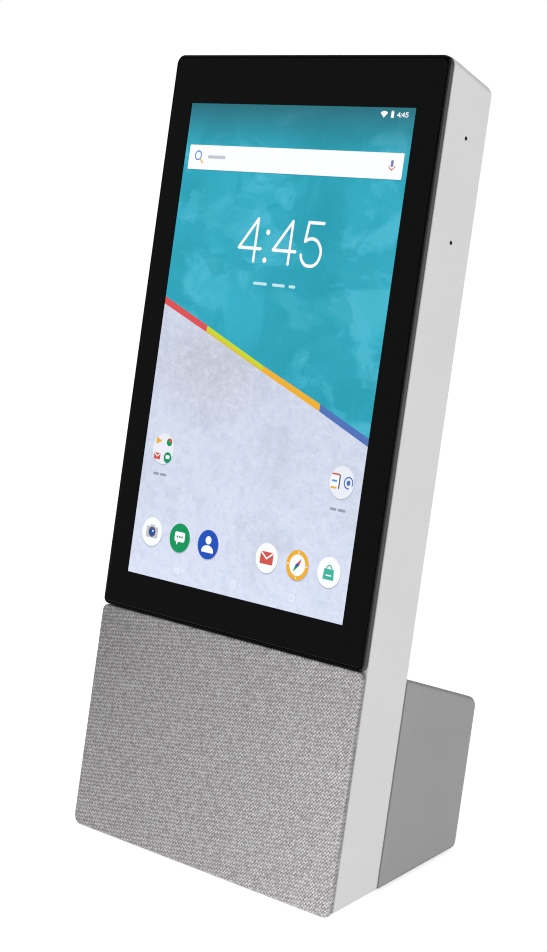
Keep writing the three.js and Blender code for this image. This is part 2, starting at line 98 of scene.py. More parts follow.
def at_x(o, x):
    """outline in (n, v) set at width x"""
    return np.stack([np.full(len(o), x), o[:, 0], o[:, 1]], 1)


def at_z(o, z):
    """outline in (x, y) set at height z"""
    return np.stack([o[:, 0], o[:, 1], np.full(len(o), z)], 1)


def chain(sections, caps=True, loop=False):
    m, k = len(sections[0]), len(sections)
    faces = []
    for i in range(k if loop else k - 1):
        a, b = i * m, ((i + 1) % k) * m
        faces += [(a + j, a + (j + 1) % m, b + (j + 1) % m, b + j) for j in range(m)]
    if caps and not loop:
        faces += [tuple(range(m - 1, -1, -1)), tuple(range((k - 1) * m, k * m))]
    return np.concatenate(sections), faces


def lathe(profile, steps=48, axis="z", centre=(0, 0, 0)):
    """profile of (r, h), starting and ending on the axis"""
    ang = np.arange(steps) * 2 * math.pi / steps
    verts, faces, rows = [], [], []
    for r, h in profile:
        if r < 1e-6:
            rows.append([len(verts)])
            verts.append((0, 0, h))
        else:
            rows.append(list(range(len(verts), len(verts) + steps)))
            verts += [(r * math.cos(a), r * math.sin(a), h) for a in ang]
    for a, b in zip(rows, rows[1:]):
        for j in range(steps):
            j2 = (j + 1) % steps
            if len(a) == 1 and len(b) == 1:
                continue
            if len(a) == 1:
                faces.append((a[0], b[j], b[j2]))
            elif len(b) == 1:
                faces.append((a[j], a[j2], b[0]))
            else:
                faces.append((a[j], a[j2], b[j2], b[j]))
    v = np.array(verts, float)
    if axis == "x":
        v = v[:, [2, 0, 1]]
    elif axis == "y":
        v = v[:, [1, 2, 0]]
    return v + np.array(centre, float), faces


def raw(name, verts, faces, matrix=None):
    """a closed mesh with its faces turned outwards, still in millimetres"""
    me = bpy.data.meshes.new(name)
    me.from_pydata([tuple(map(float, v)) for v in verts], [], [tuple(f) for f in faces])
    if matrix is not None:
        me.transform(matrix)
    bm = bmesh.new()
    bm.from_mesh(me)
    bmesh.ops.recalc_face_normals(bm, faces=bm.faces)
    bm.to_mesh(me)
    bm.free()
    ob = bpy.data.objects.new(name, me)
    scene.collection.objects.link(ob)
    return ob


def cut(ob, cutters, operation="DIFFERENCE"):
    for c in cutters:
        m = ob.modifiers.new("cut", "BOOLEAN")
        m.operation, m.object, m.solver = operation, c, "EXACT"
    dg = bpy.context.evaluated_depsgraph_get()
    me = bpy.data.meshes.new_from_object(ob.evaluated_get(dg), preserve_all_data_layers=True, depsgraph=dg)
    ob.modifiers.clear()
    old = ob.data
    ob.data = me
    bpy.data.meshes.remove(old)
    for c in cutters:
        old = c.data
        bpy.data.objects.remove(c)
        bpy.data.meshes.remove(old)
    return ob


def join(obs):
    bm = bmesh.new()
    for o in obs:
        bm.from_mesh(o.data)
    me = bpy.data.meshes.new(obs[0].name)
    bm.to_mesh(me)
    bm.free()
    for o in obs[1:]:
        bpy.data.objects.remove(o)
    obs[0].data = me
    return obs[0]


def place(ob, matrix, body, mats, replaces=(), angle=32, weighted=True, paint=None):
    """millimetres in local axes -> metres in the frame; 'loc' keeps the local millimetres for the materials"""
    me = ob.data
    k = len(me.vertices)
    co = np.zeros(k * 3, np.float32)
    me.vertices.foreach_get("co", co)
    co = co.reshape(-1, 3)
    a = me.attributes.new("loc", "FLOAT_VECTOR", "POINT")
    a.data.foreach_set("vector", co.ravel())
    m = np.array(matrix, float)
    world = (co.astype(float) * 0.001) @ m[:3, :3].T + m[:3, 3]
    me.vertices.foreach_set("co", world.astype(np.float32).ravel())
    index = np.zeros(len(me.polygons), np.int32)
    me.polygons.foreach_get("material_index", index)
    me.materials.clear()
    for x in mats if isinstance(mats, (list, tuple)) else [mats]:
        me.materials.append(x)
    if isinstance(mats, (list, tuple)):
        me.polygons.foreach_set("material_index", index)
    else:
        me.polygons.foreach_set("material_index", np.zeros(len(index), np.int32))
    if paint is not None:
        for f in me.polygons:
            c = np.mean([co[i] for i in f.vertices], 0)
            f.material_index = paint(c, f)
    me.polygons.foreach_set("use_smooth", [True] * len(me.polygons))
    me.set_sharp_from_angle(angle=math.radians(angle))
    me.update()
    if weighted:
        w = ob.modifiers.new("normals", "WEIGHTED_NORMAL")
        w.keep_sharp = True
        w.weight = 60
    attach(ob, body)
    if replaces:
        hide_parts(*replaces)
    return ob


# ------------------------------------------------------------------ materials
def lin(c):
    c = c / 255.0
    return c / 12.92 if c <= 0.04045 else ((c + 0.055) / 1.055) ** 2.4


def srgb(r, g, b):
    return (lin(r), lin(g), lin(b), 1.0)


def grey(v):
    return (v, v, v, 1.0)


class Mat:
    def __init__(self, name, cad=False):
        self.m = bpy.data.materials.new(name)
        self.m.use_nodes = True
        self.nt = self.m.node_tree
        self.nt.nodes.clear()
        self.out = self.nt.nodes.new("ShaderNodeOutputMaterial")
        if cad:
            t = self.nt.nodes.new("ShaderNodeTexCoord")
            mp = self.nt.nodes.new("ShaderNodeMapping")
            mp.inputs["Scale"].default_value = (1000, 1000, 1000)
            self.nt.links.new(t.outputs["Object"], mp.inputs["Vector"])
            self.co = mp.outputs[0]
        else:
            t = self.nt.nodes.new("ShaderNodeAttribute")
            t.attribute_type, t.attribute_name = "GEOMETRY", "loc"
            self.co = t.outputs["Vector"]
        s = self.nt.nodes.new("ShaderNodeSeparateXYZ")
        self.nt.links.new(self.co, s.inputs[0])
        self.x, self.y, self.z = s.outputs

    def put(self, socket, value):
        if isinstance(value, bpy.types.NodeSocket):
            self.nt.links.new(value, socket)
        else:
            socket.default_value = value

    def node(self, kind, **inputs):
        n = self.nt.nodes.new(kind)
        for k, v in inputs.items():
            self.put(n.inputs[k.replace("_", " ")], v)
        return n

    def math(self, op, a, b=0.0, c=0.0, clamp=False):
        n = self.nt.nodes.new("ShaderNodeMath")
        n.operation, n.use_clamp = op, clamp
        self.put(n.inputs[0], a)
        self.put(n.inputs[1], b)
        self.put(n.inputs[2], c)
        return n.outputs[0]

    def add(self, a, b):
        return self.math("ADD", a, b)

    def mul(self, a, b):
        return self.math("MULTIPLY", a, b)

    def wave(self, cx, cy, cz, phase=0.0):
        """cos(2 pi (cx x + cy y + cz z + phase))"""
        t = self.add(self.add(self.mul(self.x, cx), self.mul(self.y, cy)), self.add(self.mul(self.z, cz), phase))
        return self.math("COSINE", self.mul(t, 2 * math.pi))

    def noise(self, scale, detail=3.0, rough=0.55, distortion=0.0, stretch=None):
        v = self.co
        if stretch:
            mp = self.nt.nodes.new("ShaderNodeMapping")
            mp.inputs["Scale"].default_value = stretch
            self.nt.links.new(self.co, mp.inputs["Vector"])
            v = mp.outputs[0]
        n = self.nt.nodes.new("ShaderNodeTexNoise")
        self.nt.links.new(v, n.inputs["Vector"])
        n.inputs["Scale"].default_value = scale
        n.inputs["Detail"].default_value = detail
        n.inputs["Roughness"].default_value = rough
        n.inputs["Distortion"].default_value = distortion
        return n.outputs[0]

    def voronoi(self, scale, feature="F1"):
        n = self.nt.nodes.new("ShaderNodeTexVoronoi")
        n.feature = feature
        self.nt.links.new(self.co, n.inputs["Vector"])
        n.inputs["Scale"].default_value = scale
        return n.outputs["Distance"]

    def map(self, value, a, b, c, d, clamp=True):
        n = self.nt.nodes.new("ShaderNodeMapRange")
        n.clamp = clamp
        self.put(n.inputs["Value"], value)
        for k, v in zip(("From Min", "From Max", "To Min", "To Max"), (a, b, c, d)):
            self.put(n.inputs[k], v)
        return n.outputs["Result"]

    def mix(self, fac, a, b, blend="MIX"):
        n = self.nt.nodes.new("ShaderNodeMix")
        n.data_type, n.blend_type = "RGBA", blend
        self.put(n.inputs[0], fac)
        self.put(n.inputs[6], a)
        self.put(n.inputs[7], b)
        return n.outputs[2]

    def tone(self, colour, factor):
        """colour times a factor from a socket"""
        n = self.nt.nodes.new("ShaderNodeVectorMath")
        n.operation = "SCALE"
        if isinstance(colour, bpy.types.NodeSocket):
            self.nt.links.new(colour, n.inputs[0])
        else:
            n.inputs[0].default_value = colour[:3]
        self.put(n.inputs["Scale"], factor)
        return n.outputs[0]

    def bump(self, height, distance_mm, strength=1.0, normal=None):
        n = self.node("ShaderNodeBump")
        self.put(n.inputs["Height"], height)
        n.inputs["Strength"].default_value = strength
        n.inputs["Distance"].default_value = distance_mm * 0.001
        if normal is not None:
            self.nt.links.new(normal, n.inputs["Normal"])
        return n.outputs[0]

    def principled(self, **kw):
        n = self.nt.nodes.new("ShaderNodeBsdfPrincipled")
        for k, v in kw.items():
            self.put(n.inputs[k.replace("_", " ")], v)
        return n.outputs[0]

    def finish(self, shader):
        self.nt.links.new(shader, self.out.inputs["Surface"])
        return self.m


def moulded(name, colour, rough=0.48, grain=7.0, depth=0.012, vary=0.025, spec=0.5, cad=False, edge=None):
    """injection-moulded plastic: a fine spark-eroded grain, faint flow and handling marks"""
    m = Mat(name, cad)
    cloud = m.noise(0.035, 3, 0.5)
    fine = m.noise(grain, 2, 0.6)
    specks = m.noise(1.6, 4, 0.65)
    tone = m.map(cloud, 0.3, 0.7, 1 - vary, 1 + vary * 0.4)
    tone = m.mul(tone, m.map(specks, 0.35, 0.7, 1 - vary * 0.35, 1 + vary * 0.3))
    tone = m.mul(tone, m.map(fine, 0.3, 0.7, 0.99, 1.008))
    # the optional edge term multiplies in a painted shade given by the caller
    if edge is not None:
        tone = m.mul(tone, edge(m))
    r = m.map(m.noise(0.12, 4, 0.6, 0.3), 0.3, 0.7, rough - 0.05, rough + 0.06)
    b = m.bump(fine, depth, 0.6)
    b = m.bump(specks, depth * 1.2, 0.25, b)
    return m.finish(m.principled(Base_Color=m.tone(colour, tone), Roughness=r, Specular_IOR_Level=spec, Normal=b))


def metal(name, colour, rough=0.32, brushed=(1, 1, 1), cad=True, metallic=1.0):
    m = Mat(name, cad)
    streak = m.noise(2.2, 5, 0.65, 0.0, brushed)
    cloud = m.noise(0.08, 3, 0.5)
    tone = m.mul(m.map(streak, 0.25, 0.75, 0.86, 1.04), m.map(cloud, 0.3, 0.7, 0.92, 1.03))
    r = m.map(streak, 0.25, 0.75, rough - 0.07, rough + 0.1)
    return m.finish(m.principled(Base_Color=m.tone(colour, tone), Metallic=metallic, Roughness=r,
                                 Normal=m.bump(streak, 0.012, 0.5)))


def board(name):
    """solder mask over copper traces, with tinned pads"""
    m = Mat(name, True)
    cell = m.voronoi(0.35)
    lines = m.math("PINGPONG", m.add(m.mul(m.x, 0.9), m.mul(cell, 0.6)), 0.5)
    lines2 = m.math("PINGPONG", m.add(m.mul(m.z, 0.9), m.mul(cell, 0.6)), 0.5)
    trace = m.math("LESS_THAN", m.math("MINIMUM", lines, lines2), 0.12)
    pads = m.math("LESS_THAN", m.voronoi(0.45), 0.28)
    base = m.mix(trace, srgb(24, 78, 50), srgb(44, 118, 74))
    base = m.mix(pads, base, srgb(196, 190, 170))
    tone = m.map(m.noise(0.5, 3), 0.3, 0.7, 0.88, 1.05)
    return m.finish(m.principled(Base_Color=m.tone(base, tone), Roughness=m.map(pads, 0, 1, 0.42, 0.25),
                                 Metallic=m.mul(pads, 0.8), Normal=m.bump(m.add(trace, pads), 0.03, 0.6)))


def soft(name, colour, rough=0.85, scale=1.2, depth=0.08, cad=True, vary=0.12, sheen=0.0):
    m = Mat(name, cad)
    a = m.noise(scale, 5, 0.7)
    b = m.noise(scale * 6, 3, 0.6)
    tone = m.mul(m.map(a, 0.3, 0.7, 1 - vary, 1 + vary * 0.5), m.map(b, 0.3, 0.7, 1 - vary * 0.5, 1 + vary * 0.3))
    return m.finish(m.principled(Base_Color=m.tone(colour, tone), Roughness=m.map(b, 0.3, 0.7, rough - 0.06, rough + 0.08),
                                 Sheen_Weight=sheen, Normal=m.bump(m.add(a, m.mul(b, 0.5)), depth, 0.6)))


def film(name, colour, line=(0, 0, 1), pitch=1.4, rough=0.38):
    """polyimide film with copper lines under it"""
    m = Mat(name, True)
    lines = m.wave(line[0] / pitch, line[1] / pitch, line[2] / pitch)
    t = m.map(lines, -0.2, 0.4, 0.72, 1.08)
    t = m.mul(t, m.map(m.noise(0.6, 3), 0.3, 0.7, 0.93, 1.04))
    return m.finish(m.principled(Base_Color=m.tone(colour, t), Roughness=m.map(m.noise(3, 3), 0.3, 0.7, rough - 0.06, rough + 0.1),
                                 Coat_Weight=0.3, Normal=m.bump(lines, 0.03, 0.5)))


# Outer finishes.
def slab_side_painted_shade(m):
    # painted shade: the slab's side is a touch darker towards the bottom, and darker still within about a millimetre of
    # its floor edge
    return m.mul(m.map(m.z, 0, 250, 0.955, 1.0), m.map(m.math("SUBTRACT", m.z, m.mul(m.y, FLOOR)), 0.3, 1.3, 0.92, 1.0))


WHITE = moulded("shell_white_plastic", (0.725, 0.725, 0.727), 0.46, 6.0, 0.010, 0.018, edge=slab_side_painted_shade)


def base_painted_contact_shade(m):
    # painted shade: the grey base is darker within about a millimetre of its floor edge
    return m.mul(m.map(m.z, 5, 68, 1.0, 1.0), m.map(m.math("SUBTRACT", m.z, m.mul(m.y, FLOOR)), 0.25, 1.0, 0.45, 1.0))


GREY = moulded("base_grey_plastic", (0.316, 0.316, 0.318), 0.52, 5.0, 0.014, 0.03, edge=base_painted_contact_shade)


def frame_side_step_and_painted_shade(m):
    # the strip beside the shell: near black along its front lip, darker behind the step, and painted shade that darkens
    # it towards the bottom
    n = m.y
    step = m.map(n, 1.42, 1.50, 1.0, 0.66)
    rim = m.map(n, 0.36, 0.56, 0.03, 1.0)
    return m.mul(m.mul(step, rim), m.map(m.z, 74, 250, 0.50, 0.84))


FRAME = moulded("bezel_side_plastic", (0.068, 0.068, 0.069), 0.36, 4.0, 0.008, 0.05, edge=frame_side_step_and_painted_shade)
DARK = moulded("dark_moulded_plastic", (0.022, 0.022, 0.023), 0.5, 3.5, 0.03, 0.12)
PLATE = moulded("bottom_plate_plastic", (0.16, 0.16, 0.162), 0.6, 3.0, 0.04, 0.06)
KEY = moulded("key_plastic", (0.74, 0.74, 0.745), 0.38, 8.0, 0.008, 0.02)
KNOB = moulded("slider_plastic", (0.62, 0.62, 0.625), 0.34, 8.0, 0.008, 0.02)
RUBBER = soft("foot_rubber", (0.018, 0.018, 0.019), 0.8, 0.9, 0.05, cad=False)
SCREW = metal("screw_zinc", (0.72, 0.72, 0.73), 0.3, (1, 1, 6), cad=False)
PORT = metal("port_steel", (0.66, 0.66, 0.67), 0.28, (0.3, 5, 5), cad=False)
TONGUE = moulded("port_tongue", (0.012, 0.012, 0.013), 0.5, 3.0, 0.02, 0.1)
CONTACT = metal("port_contact", (0.86, 0.66, 0.32), 0.26, (1, 1, 5), cad=False)


def ink():
    m = Mat("border_ink_black")
    t = m.map(m.noise(0.4, 4, 0.6), 0.3, 0.7, 0.85, 1.15)
    return m.finish(m.principled(Base_Color=m.tone((0.0024, 0.0024, 0.0026), t), Roughness=m.map(m.noise(5, 2), 0.3, 0.7, 0.5, 0.65),
                                 Specular_IOR_Level=0.06))


INK = ink()


def glass():
    """clear coated cover glass: hardly any gloss face on, Fresnel gloss towards grazing"""
    m = Mat("cover_glass_clear")
    smear = m.map(m.noise(0.03, 5, 0.6, 1.2), 0.35, 0.75, 0.012, 0.030)
    fres = m.node("ShaderNodeFresnel")
    fres.inputs["IOR"].default_value = 1.42
    gloss = m.node("ShaderNodeBsdfGlossy")
    gloss.inputs["Color"].default_value = (1, 1, 1, 1)
    m.put(gloss.inputs["Roughness"], smear)
    clear = m.node("ShaderNodeBsdfTransparent")
    clear.inputs["Color"].default_value = (1, 1, 1, 1)
    mx = m.nt.nodes.new("ShaderNodeMixShader")
    geo = m.nt.nodes.new("ShaderNodeNewGeometry")
    front = m.math("SUBTRACT", 1.0, geo.outputs["Backfacing"])
    coated = m.mul(m.math("SUBTRACT", fres.outputs[0], 0.046, clamp=True), 1.05)
    m.nt.links.new(m.mul(coated, front), mx.inputs[0])
    m.nt.links.new(clear.outputs[0], mx.inputs[1])
    m.nt.links.new(gloss.outputs[0], mx.inputs[2])
    return m.finish(mx.outputs[0])


GLASS = glass()


def black_glass():
    """the same glass where it is backed with black ink"""
    m = Mat("cover_glass_black")
    smear = m.map(m.noise(0.03, 5, 0.6, 1.2), 0.35, 0.75, 0.015, 0.035)
    t = m.map(m.noise(0.4, 4, 0.6), 0.3, 0.7, 0.9, 1.1)
    return m.finish(m.principled(Base_Color=m.tone((0.0038, 0.0038, 0.0040), t), Roughness=smear, IOR=1.42, Specular_IOR_Level=0.5))


BLACK_GLASS = black_glass()


def lit(name, build):
    """a lit part of the picture that varies across its face: what it shows plus the panel's own very faint mottle"""
    m = Mat(name)
    colour = build(m)
    mottle = m.map(m.noise(1.1, 3, 0.6), 0.3, 0.7, 0.988, 1.01)
    return m.finish(m.principled(Base_Color=m.tone((0.004, 0.004, 0.005), m.map(m.noise(0.8, 3), 0.3, 0.7, 0.8, 1.2)),
                                 Roughness=m.map(m.noise(3.0, 2), 0.3, 0.7, 0.55, 0.70), Specular_IOR_Level=0.0,
                                 Emission_Color=m.tone(colour, mottle), Emission_Strength=1.0))


def flat_lit(name, r, g, b):
    """a lit mark of one colour, on the same dark panel"""
    m = Mat(name)
    return m.finish(m.principled(Base_Color=m.tone((0.004, 0.004, 0.005), m.map(m.noise(0.8, 3), 0.3, 0.7, 0.8, 1.2)),
                                 Roughness=m.map(m.noise(3.0, 2), 0.3, 0.7, 0.55, 0.70), Specular_IOR_Level=0.0,
                                 Emission_Color=srgb(r, g, b), Emission_Strength=1.0))


def teal(m):
    """soft painted teal: broad overlapping washes with their own edges, darker towards the status bar"""
    a = m.noise(0.022, 4, 0.50, 0.35, (1, 1, 1.5))
    b = m.noise(0.042, 5, 0.55, 0.5, (0.9, 1, 1.7))
    c = m.noise(0.030, 5, 0.58, 0.9, (1.2, 1, 1.0))
    d = m.noise(0.9, 3, 0.7, 0.4)
    base = m.mix(m.map(a, 0.36, 0.64, 0, 1), srgb(44, 160, 182), srgb(57, 178, 202))
    base = m.mix(m.map(b, 0.515, 0.555, 0, 0.50), base, srgb(74, 187, 212))
    base = m.mix(m.map(b, 0.575, 0.60, 0, 0.42), base, srgb(88, 193, 218))
    base = m.mix(m.map(c, 0.47, 0.43, 0, 0.45), base, srgb(38, 156, 176))
    base = m.mix(m.map(c, 0.56, 0.59, 0, 0.28), base, srgb(58, 176, 190))
    base = m.mix(m.map(d, 0.4, 0.75, 0, 0.10), base, srgb(92, 186, 200))
    dark = m.map(m.z, 219.5, 234.0, 0, 0.94)
    base = m.mix(dark, base, srgb(46, 112, 126))
    return base


def lavender(m):
    """pale plaster, lighter low down, with a worn patch near its top, fine pale scratches and speckle"""
    a = m.noise(0.05, 5, 0.6, 0.8)
    b = m.noise(0.34, 6, 0.70, 0.7)
    c = m.noise(2.0, 3, 0.7)
    r = m.noise(0.075, 7, 0.66, 0.6, (1.0, 1, 1.6))
    low = m.map(m.z, 84, 165, 0, 1)
    base = m.mix(low, srgb(224, 230, 247), srgb(207, 212, 229))
    base = m.mix(m.map(a, 0.40, 0.62, 0, 0.45), base, srgb(226, 231, 246))
    base = m.mix(m.map(a, 0.46, 0.34, 0, 0.40), base, srgb(197, 203, 217))
    dx, dz = m.math("SUBTRACT", m.x, -22.0), m.math("SUBTRACT", m.z, 152.0)
    worn = m.map(m.math("SQRT", m.add(m.mul(dx, dx), m.mul(m.mul(dz, dz), 2.2))), 5, 28, 0.80, 0)
    base = m.mix(m.mul(worn, m.map(b, 0.35, 0.6, 0.4, 1.0)), base, srgb(196, 196, 204))
    base = m.mix(m.map(b, 0.50, 0.66, 0, 0.50), base, srgb(198, 204, 220))
    base = m.mix(m.map(b, 0.46, 0.30, 0, 0.50), base, srgb(236, 239, 249))
    scratch = m.math("SUBTRACT", 1.0, m.mul(m.math("ABSOLUTE", m.math("SUBTRACT", r, 0.5)), 26.0), clamp=True)
    base = m.mix(m.mul(scratch, 0.22), base, srgb(243, 245, 252))
    base = m.mix(m.map(c, 0.54, 0.74, 0, 0.28), base, srgb(186, 193, 213))
    base = m.mix(1.0, base, (0.965, 0.985, 1.012, 1.0), "MULTIPLY")
    return m.tone(base, m.map(m.z, 88, 122, 1.0, 0.978))


# ------------------------------------------------------------------ slab shell
def slab_section(n, inset, steps=9):
    """(bottom, side, top, side) insets; the lower corners are nearly square, as they stand on the floor"""
    top = 250.15 - 0.3 * (n - 2.25)
    return at_n(outline([(-57, FLOOR * n), (57, FLOOR * n), (57, top), (-57, top)], [0.9, 0.9, 2.6, 2.6], inset, steps), n)


def slab_inner(n, inset=0.0, steps=9):
    return at_n(outline([(-54.8, FLOOR * n + 2.3), (54.8, FLOOR * n + 2.3), (54.8, 247.85 - 0.3 * (n - 2.25)), (-54.8, 247.85 - 0.3 * (n - 2.25))],
                        [1.4] * 4, inset, steps), n)


def fillet(r, n_end, k=6, towards=1):
    """(n, inset) pairs rounding an edge of radius r that ends at n_end"""
    out = []
    for i in range(k + 1):
        a = math.pi / 2 * i / k
        out.append((n_end - towards * r * (1 - math.sin(a)), r * (1 - math.cos(a))))
    return out


def stadium(w, h, steps=10):
    return outline(rect(-w / 2, -h / 2, w / 2, h / 2), [h / 2 - 1e-3] * 4, 0, steps)


def prism(name, o, z0, z1, matrix=None, chamfer=None):
    secs = [at_z(o, z0), at_z(o, z1)] if chamfer is None else chamfer
    v, f = chain(secs)
    return raw(name, v, f, matrix)


def back_edge(f):
    # the back edges are rounded more along the top than down the sides, and hardly at all at the floor
    return [0.2 * f, 0.6 * f, 1.2 * f, 0.6 * f]


sections = [slab_section(n, back_edge(i / 1.2)) for n, i in reversed(fillet(1.2, 20.8, 7))]
sections += [slab_section(n, 0) for n in (13.0, 8.0, 4.0)]
sections += [slab_section(n, i) for n, i in fillet(0.4, 2.25, 5, -1)]
sections += [slab_inner(2.25, -0.0), slab_inner(2.6, 0), slab_inner(18.2, 0), slab_inner(18.62, 0.18), slab_inner(18.8, 0.6)]
slab = raw("slab_shell", *chain(sections))

cutters = []
for side in (-1, 1):
    for v in (198.2, 228.4):
        prof = [(0, 52.0), (0.6, 52.0), (0.6, 56.90), (0.68, 57.0), (0.68, 57.3), (0, 57.3)]
        cutters.append(raw("mic_cut", *lathe([(r, h * side) for r, h in prof], 28, "x", (0, 11.65, v))))


def slot_cut(w, h, cx, cy=9.5, lead=0.25):
    secs = [at_z(stadium(w, h), -6.0), at_z(stadium(w, h), -lead), at_z(stadium(w + 2 * lead, h + 2 * lead), 0.02),
            at_z(stadium(w + 2 * lead, h + 2 * lead), 2.0)]
    v, f = chain(secs)
    v = v + np.array([cx, cy, 0])
    return raw("slot_cut", v, f, TOP_MM)


for cx in (38, 15, 1):
    cutters.append(slot_cut(10.0, 3.6, cx))
cutters.append(slot_cut(7.5, 3.4, -24, lead=0.2))
pocket = outline(rect(-42.2, 4.8, 42.2, 11.2), [2.6] * 4, 0, 6)
cutters.append(raw("foot_cut", *chain([at_z(pocket, -2.0), at_z(pocket, 0.65)]), STAND_MM))
win = outline(rect(-44.5, 14, 44.5, 64), [3] * 4, 0, 6)
cutters.append(raw("window_cut", *chain([at_n(win, 17.5), at_n(win, 22.0)])))
cut(slab, [join(cutters)])


def slab_paint(c, f):
    # the bores of the microphone holes are lined with dark acoustic mesh
    for v in (198.2, 228.4):
        if abs(c[0]) > 54 and math.hypot(c[1] - 11.65, c[2] - v) < 0.64 and abs(c[0]) < 56.93:
            return 1
    return 0


place(slab, M_SLAB, "stand", [WHITE, DARK], ["slab_housing"], angle=30, paint=slab_paint)
for side, tag in ((-1, "left"), (1, "right")):
    discs = []
    for v in (198.2, 228.4):
        discs.append(raw("mesh_disc", *lathe([(0, 56.25 * side), (0.595, 56.25 * side), (0.595, 56.45 * side), (0, 56.52 * side)], 24, "x", (0, 11.65, v))))
    d = join(discs)
    d.name = f"mic_mesh_{tag}"
    place(d, M_SLAB, "stand", DARK, angle=40)

# ------------------------------------------------------------------ base shell
BASE_PROFILE = [(20.95, FLOOR * 20.95), (55.5, FLOOR * 55.5), (55.5, 63.84), (20.95, 70.05)]


def base_section(x, f, steps=10):
    # the side edges are rounded on the top and back, eased on the floor edge, and square against the slab
    return at_x(outline(BASE_PROFILE, [0.4, 2.3, 3.4, 0.4], [0.55 * f, 1.3 * f, 1.3 * f, 0.12 * f], steps), x)


secs = []
K = 8
for i in range(K + 1):
    a = math.pi / 2 * i / K
    secs.append(base_section(-57 + 1.3 * (1 - math.cos(a)), 1 - math.sin(a)))
secs += [base_section(x, 0) for x in (-30, 0, 30)]
for i in range(K, -1, -1):
    a = math.pi / 2 * i / K
    secs.append(base_section(57 - 1.3 * (1 - math.cos(a)), 1 - math.sin(a)))
base = raw("base_shell", *chain(secs))
cav = outline([(12, -6), (53.3, -6), (53.3, 61.9), (12, 69.33)], [0.3, 0.3, 2.0, 0.3], 0, 6)
cav_cut = raw("cavity_cut", *chain([at_x(cav, -54.8), at_x(cav, 54.8)]))
inlet = rect(-4.9, 26.9, 4.9, 31.1)
inlet_cut = raw("inlet_cut", *chain([at_n(outline(inlet, [2.0] * 4, 0, 8), 51.0), at_n(outline(inlet, [2.0] * 4, 0, 8), 54.95),
                                     at_n(outline(inlet, [2.0] * 4, -0.45, 8), 55.52), at_n(outline(inlet, [2.0] * 4, -0.45, 8), 57.0)]))
cut(base, [cav_cut])
cut(base, [inlet_cut])
place(base, M_SLAB, "stand", GREY, ["base_housing"], angle=30)

# ------------------------------------------------------------------ front panel
def face_outline(x0, v0, x1, v1, rb, rt, inset=0.0, steps=10):
    return outline(rect(x0, v0, x1, v1), [rb, rb, rt, rt], inset, steps)


def F(n, inset):
    return at_n(face_outline(-57, 72.4, 57, 250.2, 2.0, 3.0, inset), n)


def skirt(n, inset=0.0):
    return at_n(face_outline(-54.4, 74.5, 54.4, 245.5, 1.5, 1.5, inset), n)


def window(n):
    return at_n(face_outline(-50, 81, 50, 238, 0.8, 0.8), n)


loop = [F(0.12, 0.60), F(0.10, 0.42), F(0.14, 0.22), F(0.26, 0.08), F(0.46, 0.0), F(0.9, 0.0), F(1.40, 0.0), F(1.47, 0.06), F(1.56, 0.10),
        F(1.95, 0.10), F(2.1, 0.24), skirt(2.1), skirt(5.3), skirt(5.6, 0.3), skirt(5.6, 0.9), skirt(5.3, 1.2), skirt(2.1, 1.2), window(2.1), window(1.1), window(1.0),
        F(1.0, 0.66), F(0.3, 0.66)]
bezel = raw("bezel_frame", *chain(loop, loop=True))


def bezel_paint(c, f):
    # everything under the glass is blacked out
    inside = abs(c[0]) < 56.36 and 73.04 < c[2] < 249.56
    # and so is the narrow lip along the bottom
    lip = abs(c[0]) < 55.6 and c[2] < 73.2
    return 1 if (inside and c[1] < 1.05) or lip else 0


place(bezel, M_SLAB, "stand", [FRAME, INK], ["display_frame"], angle=28, paint=bezel_paint)


def G(n, inset):
    return at_n(face_outline(-56.15, 73.25, 56.15, 249.35, 1.49, 2.49, inset), n)


UI_DX = -0.4


def opening(n, grow=0.0):
    return at_n(outline(rect(-47.1 + UI_DX - grow, 84.2 - grow, 47.1 + UI_DX + grow, 234.9 + grow), [0.05] * 4, 0, 10), n)


def pane_paint(c, f):
    # clear over the picture, backed with black everywhere else
    over = abs(c[0] - UI_DX) < 1.0 and abs(c[2] - 159.55) < 3.0
    return 0 if over or f.normal.y > 0.5 else 1


pane = raw("glass_pane", *chain([opening(0.0), G(0.0, 0.14), G(0.04, 0.04), G(0.14, 0.0), G(0.85, 0.0), G(0.85, 1.2), G(0.21, 1.2)]))
place(pane, M_SLAB, "stand", [GLASS, BLACK_GLASS], ["cover_glass"], angle=24, paint=pane_paint)


border = raw("border_mask", *chain([G(0.24, 1.26), opening(0.24), opening(0.42), G(0.42, 1.26)], loop=True))
place(border, M_SLAB, "stand", INK, angle=24)

# ------------------------------------------------------------------ lit picture
UI_N = 0.32


def U(px, py):
    """a point of the picture, in thousandths across and 1780ths down"""
    return np.array([px / 1000 * 94.2 - 47.1 + UI_DX, 234.9 - py / 1780 * 150.7])


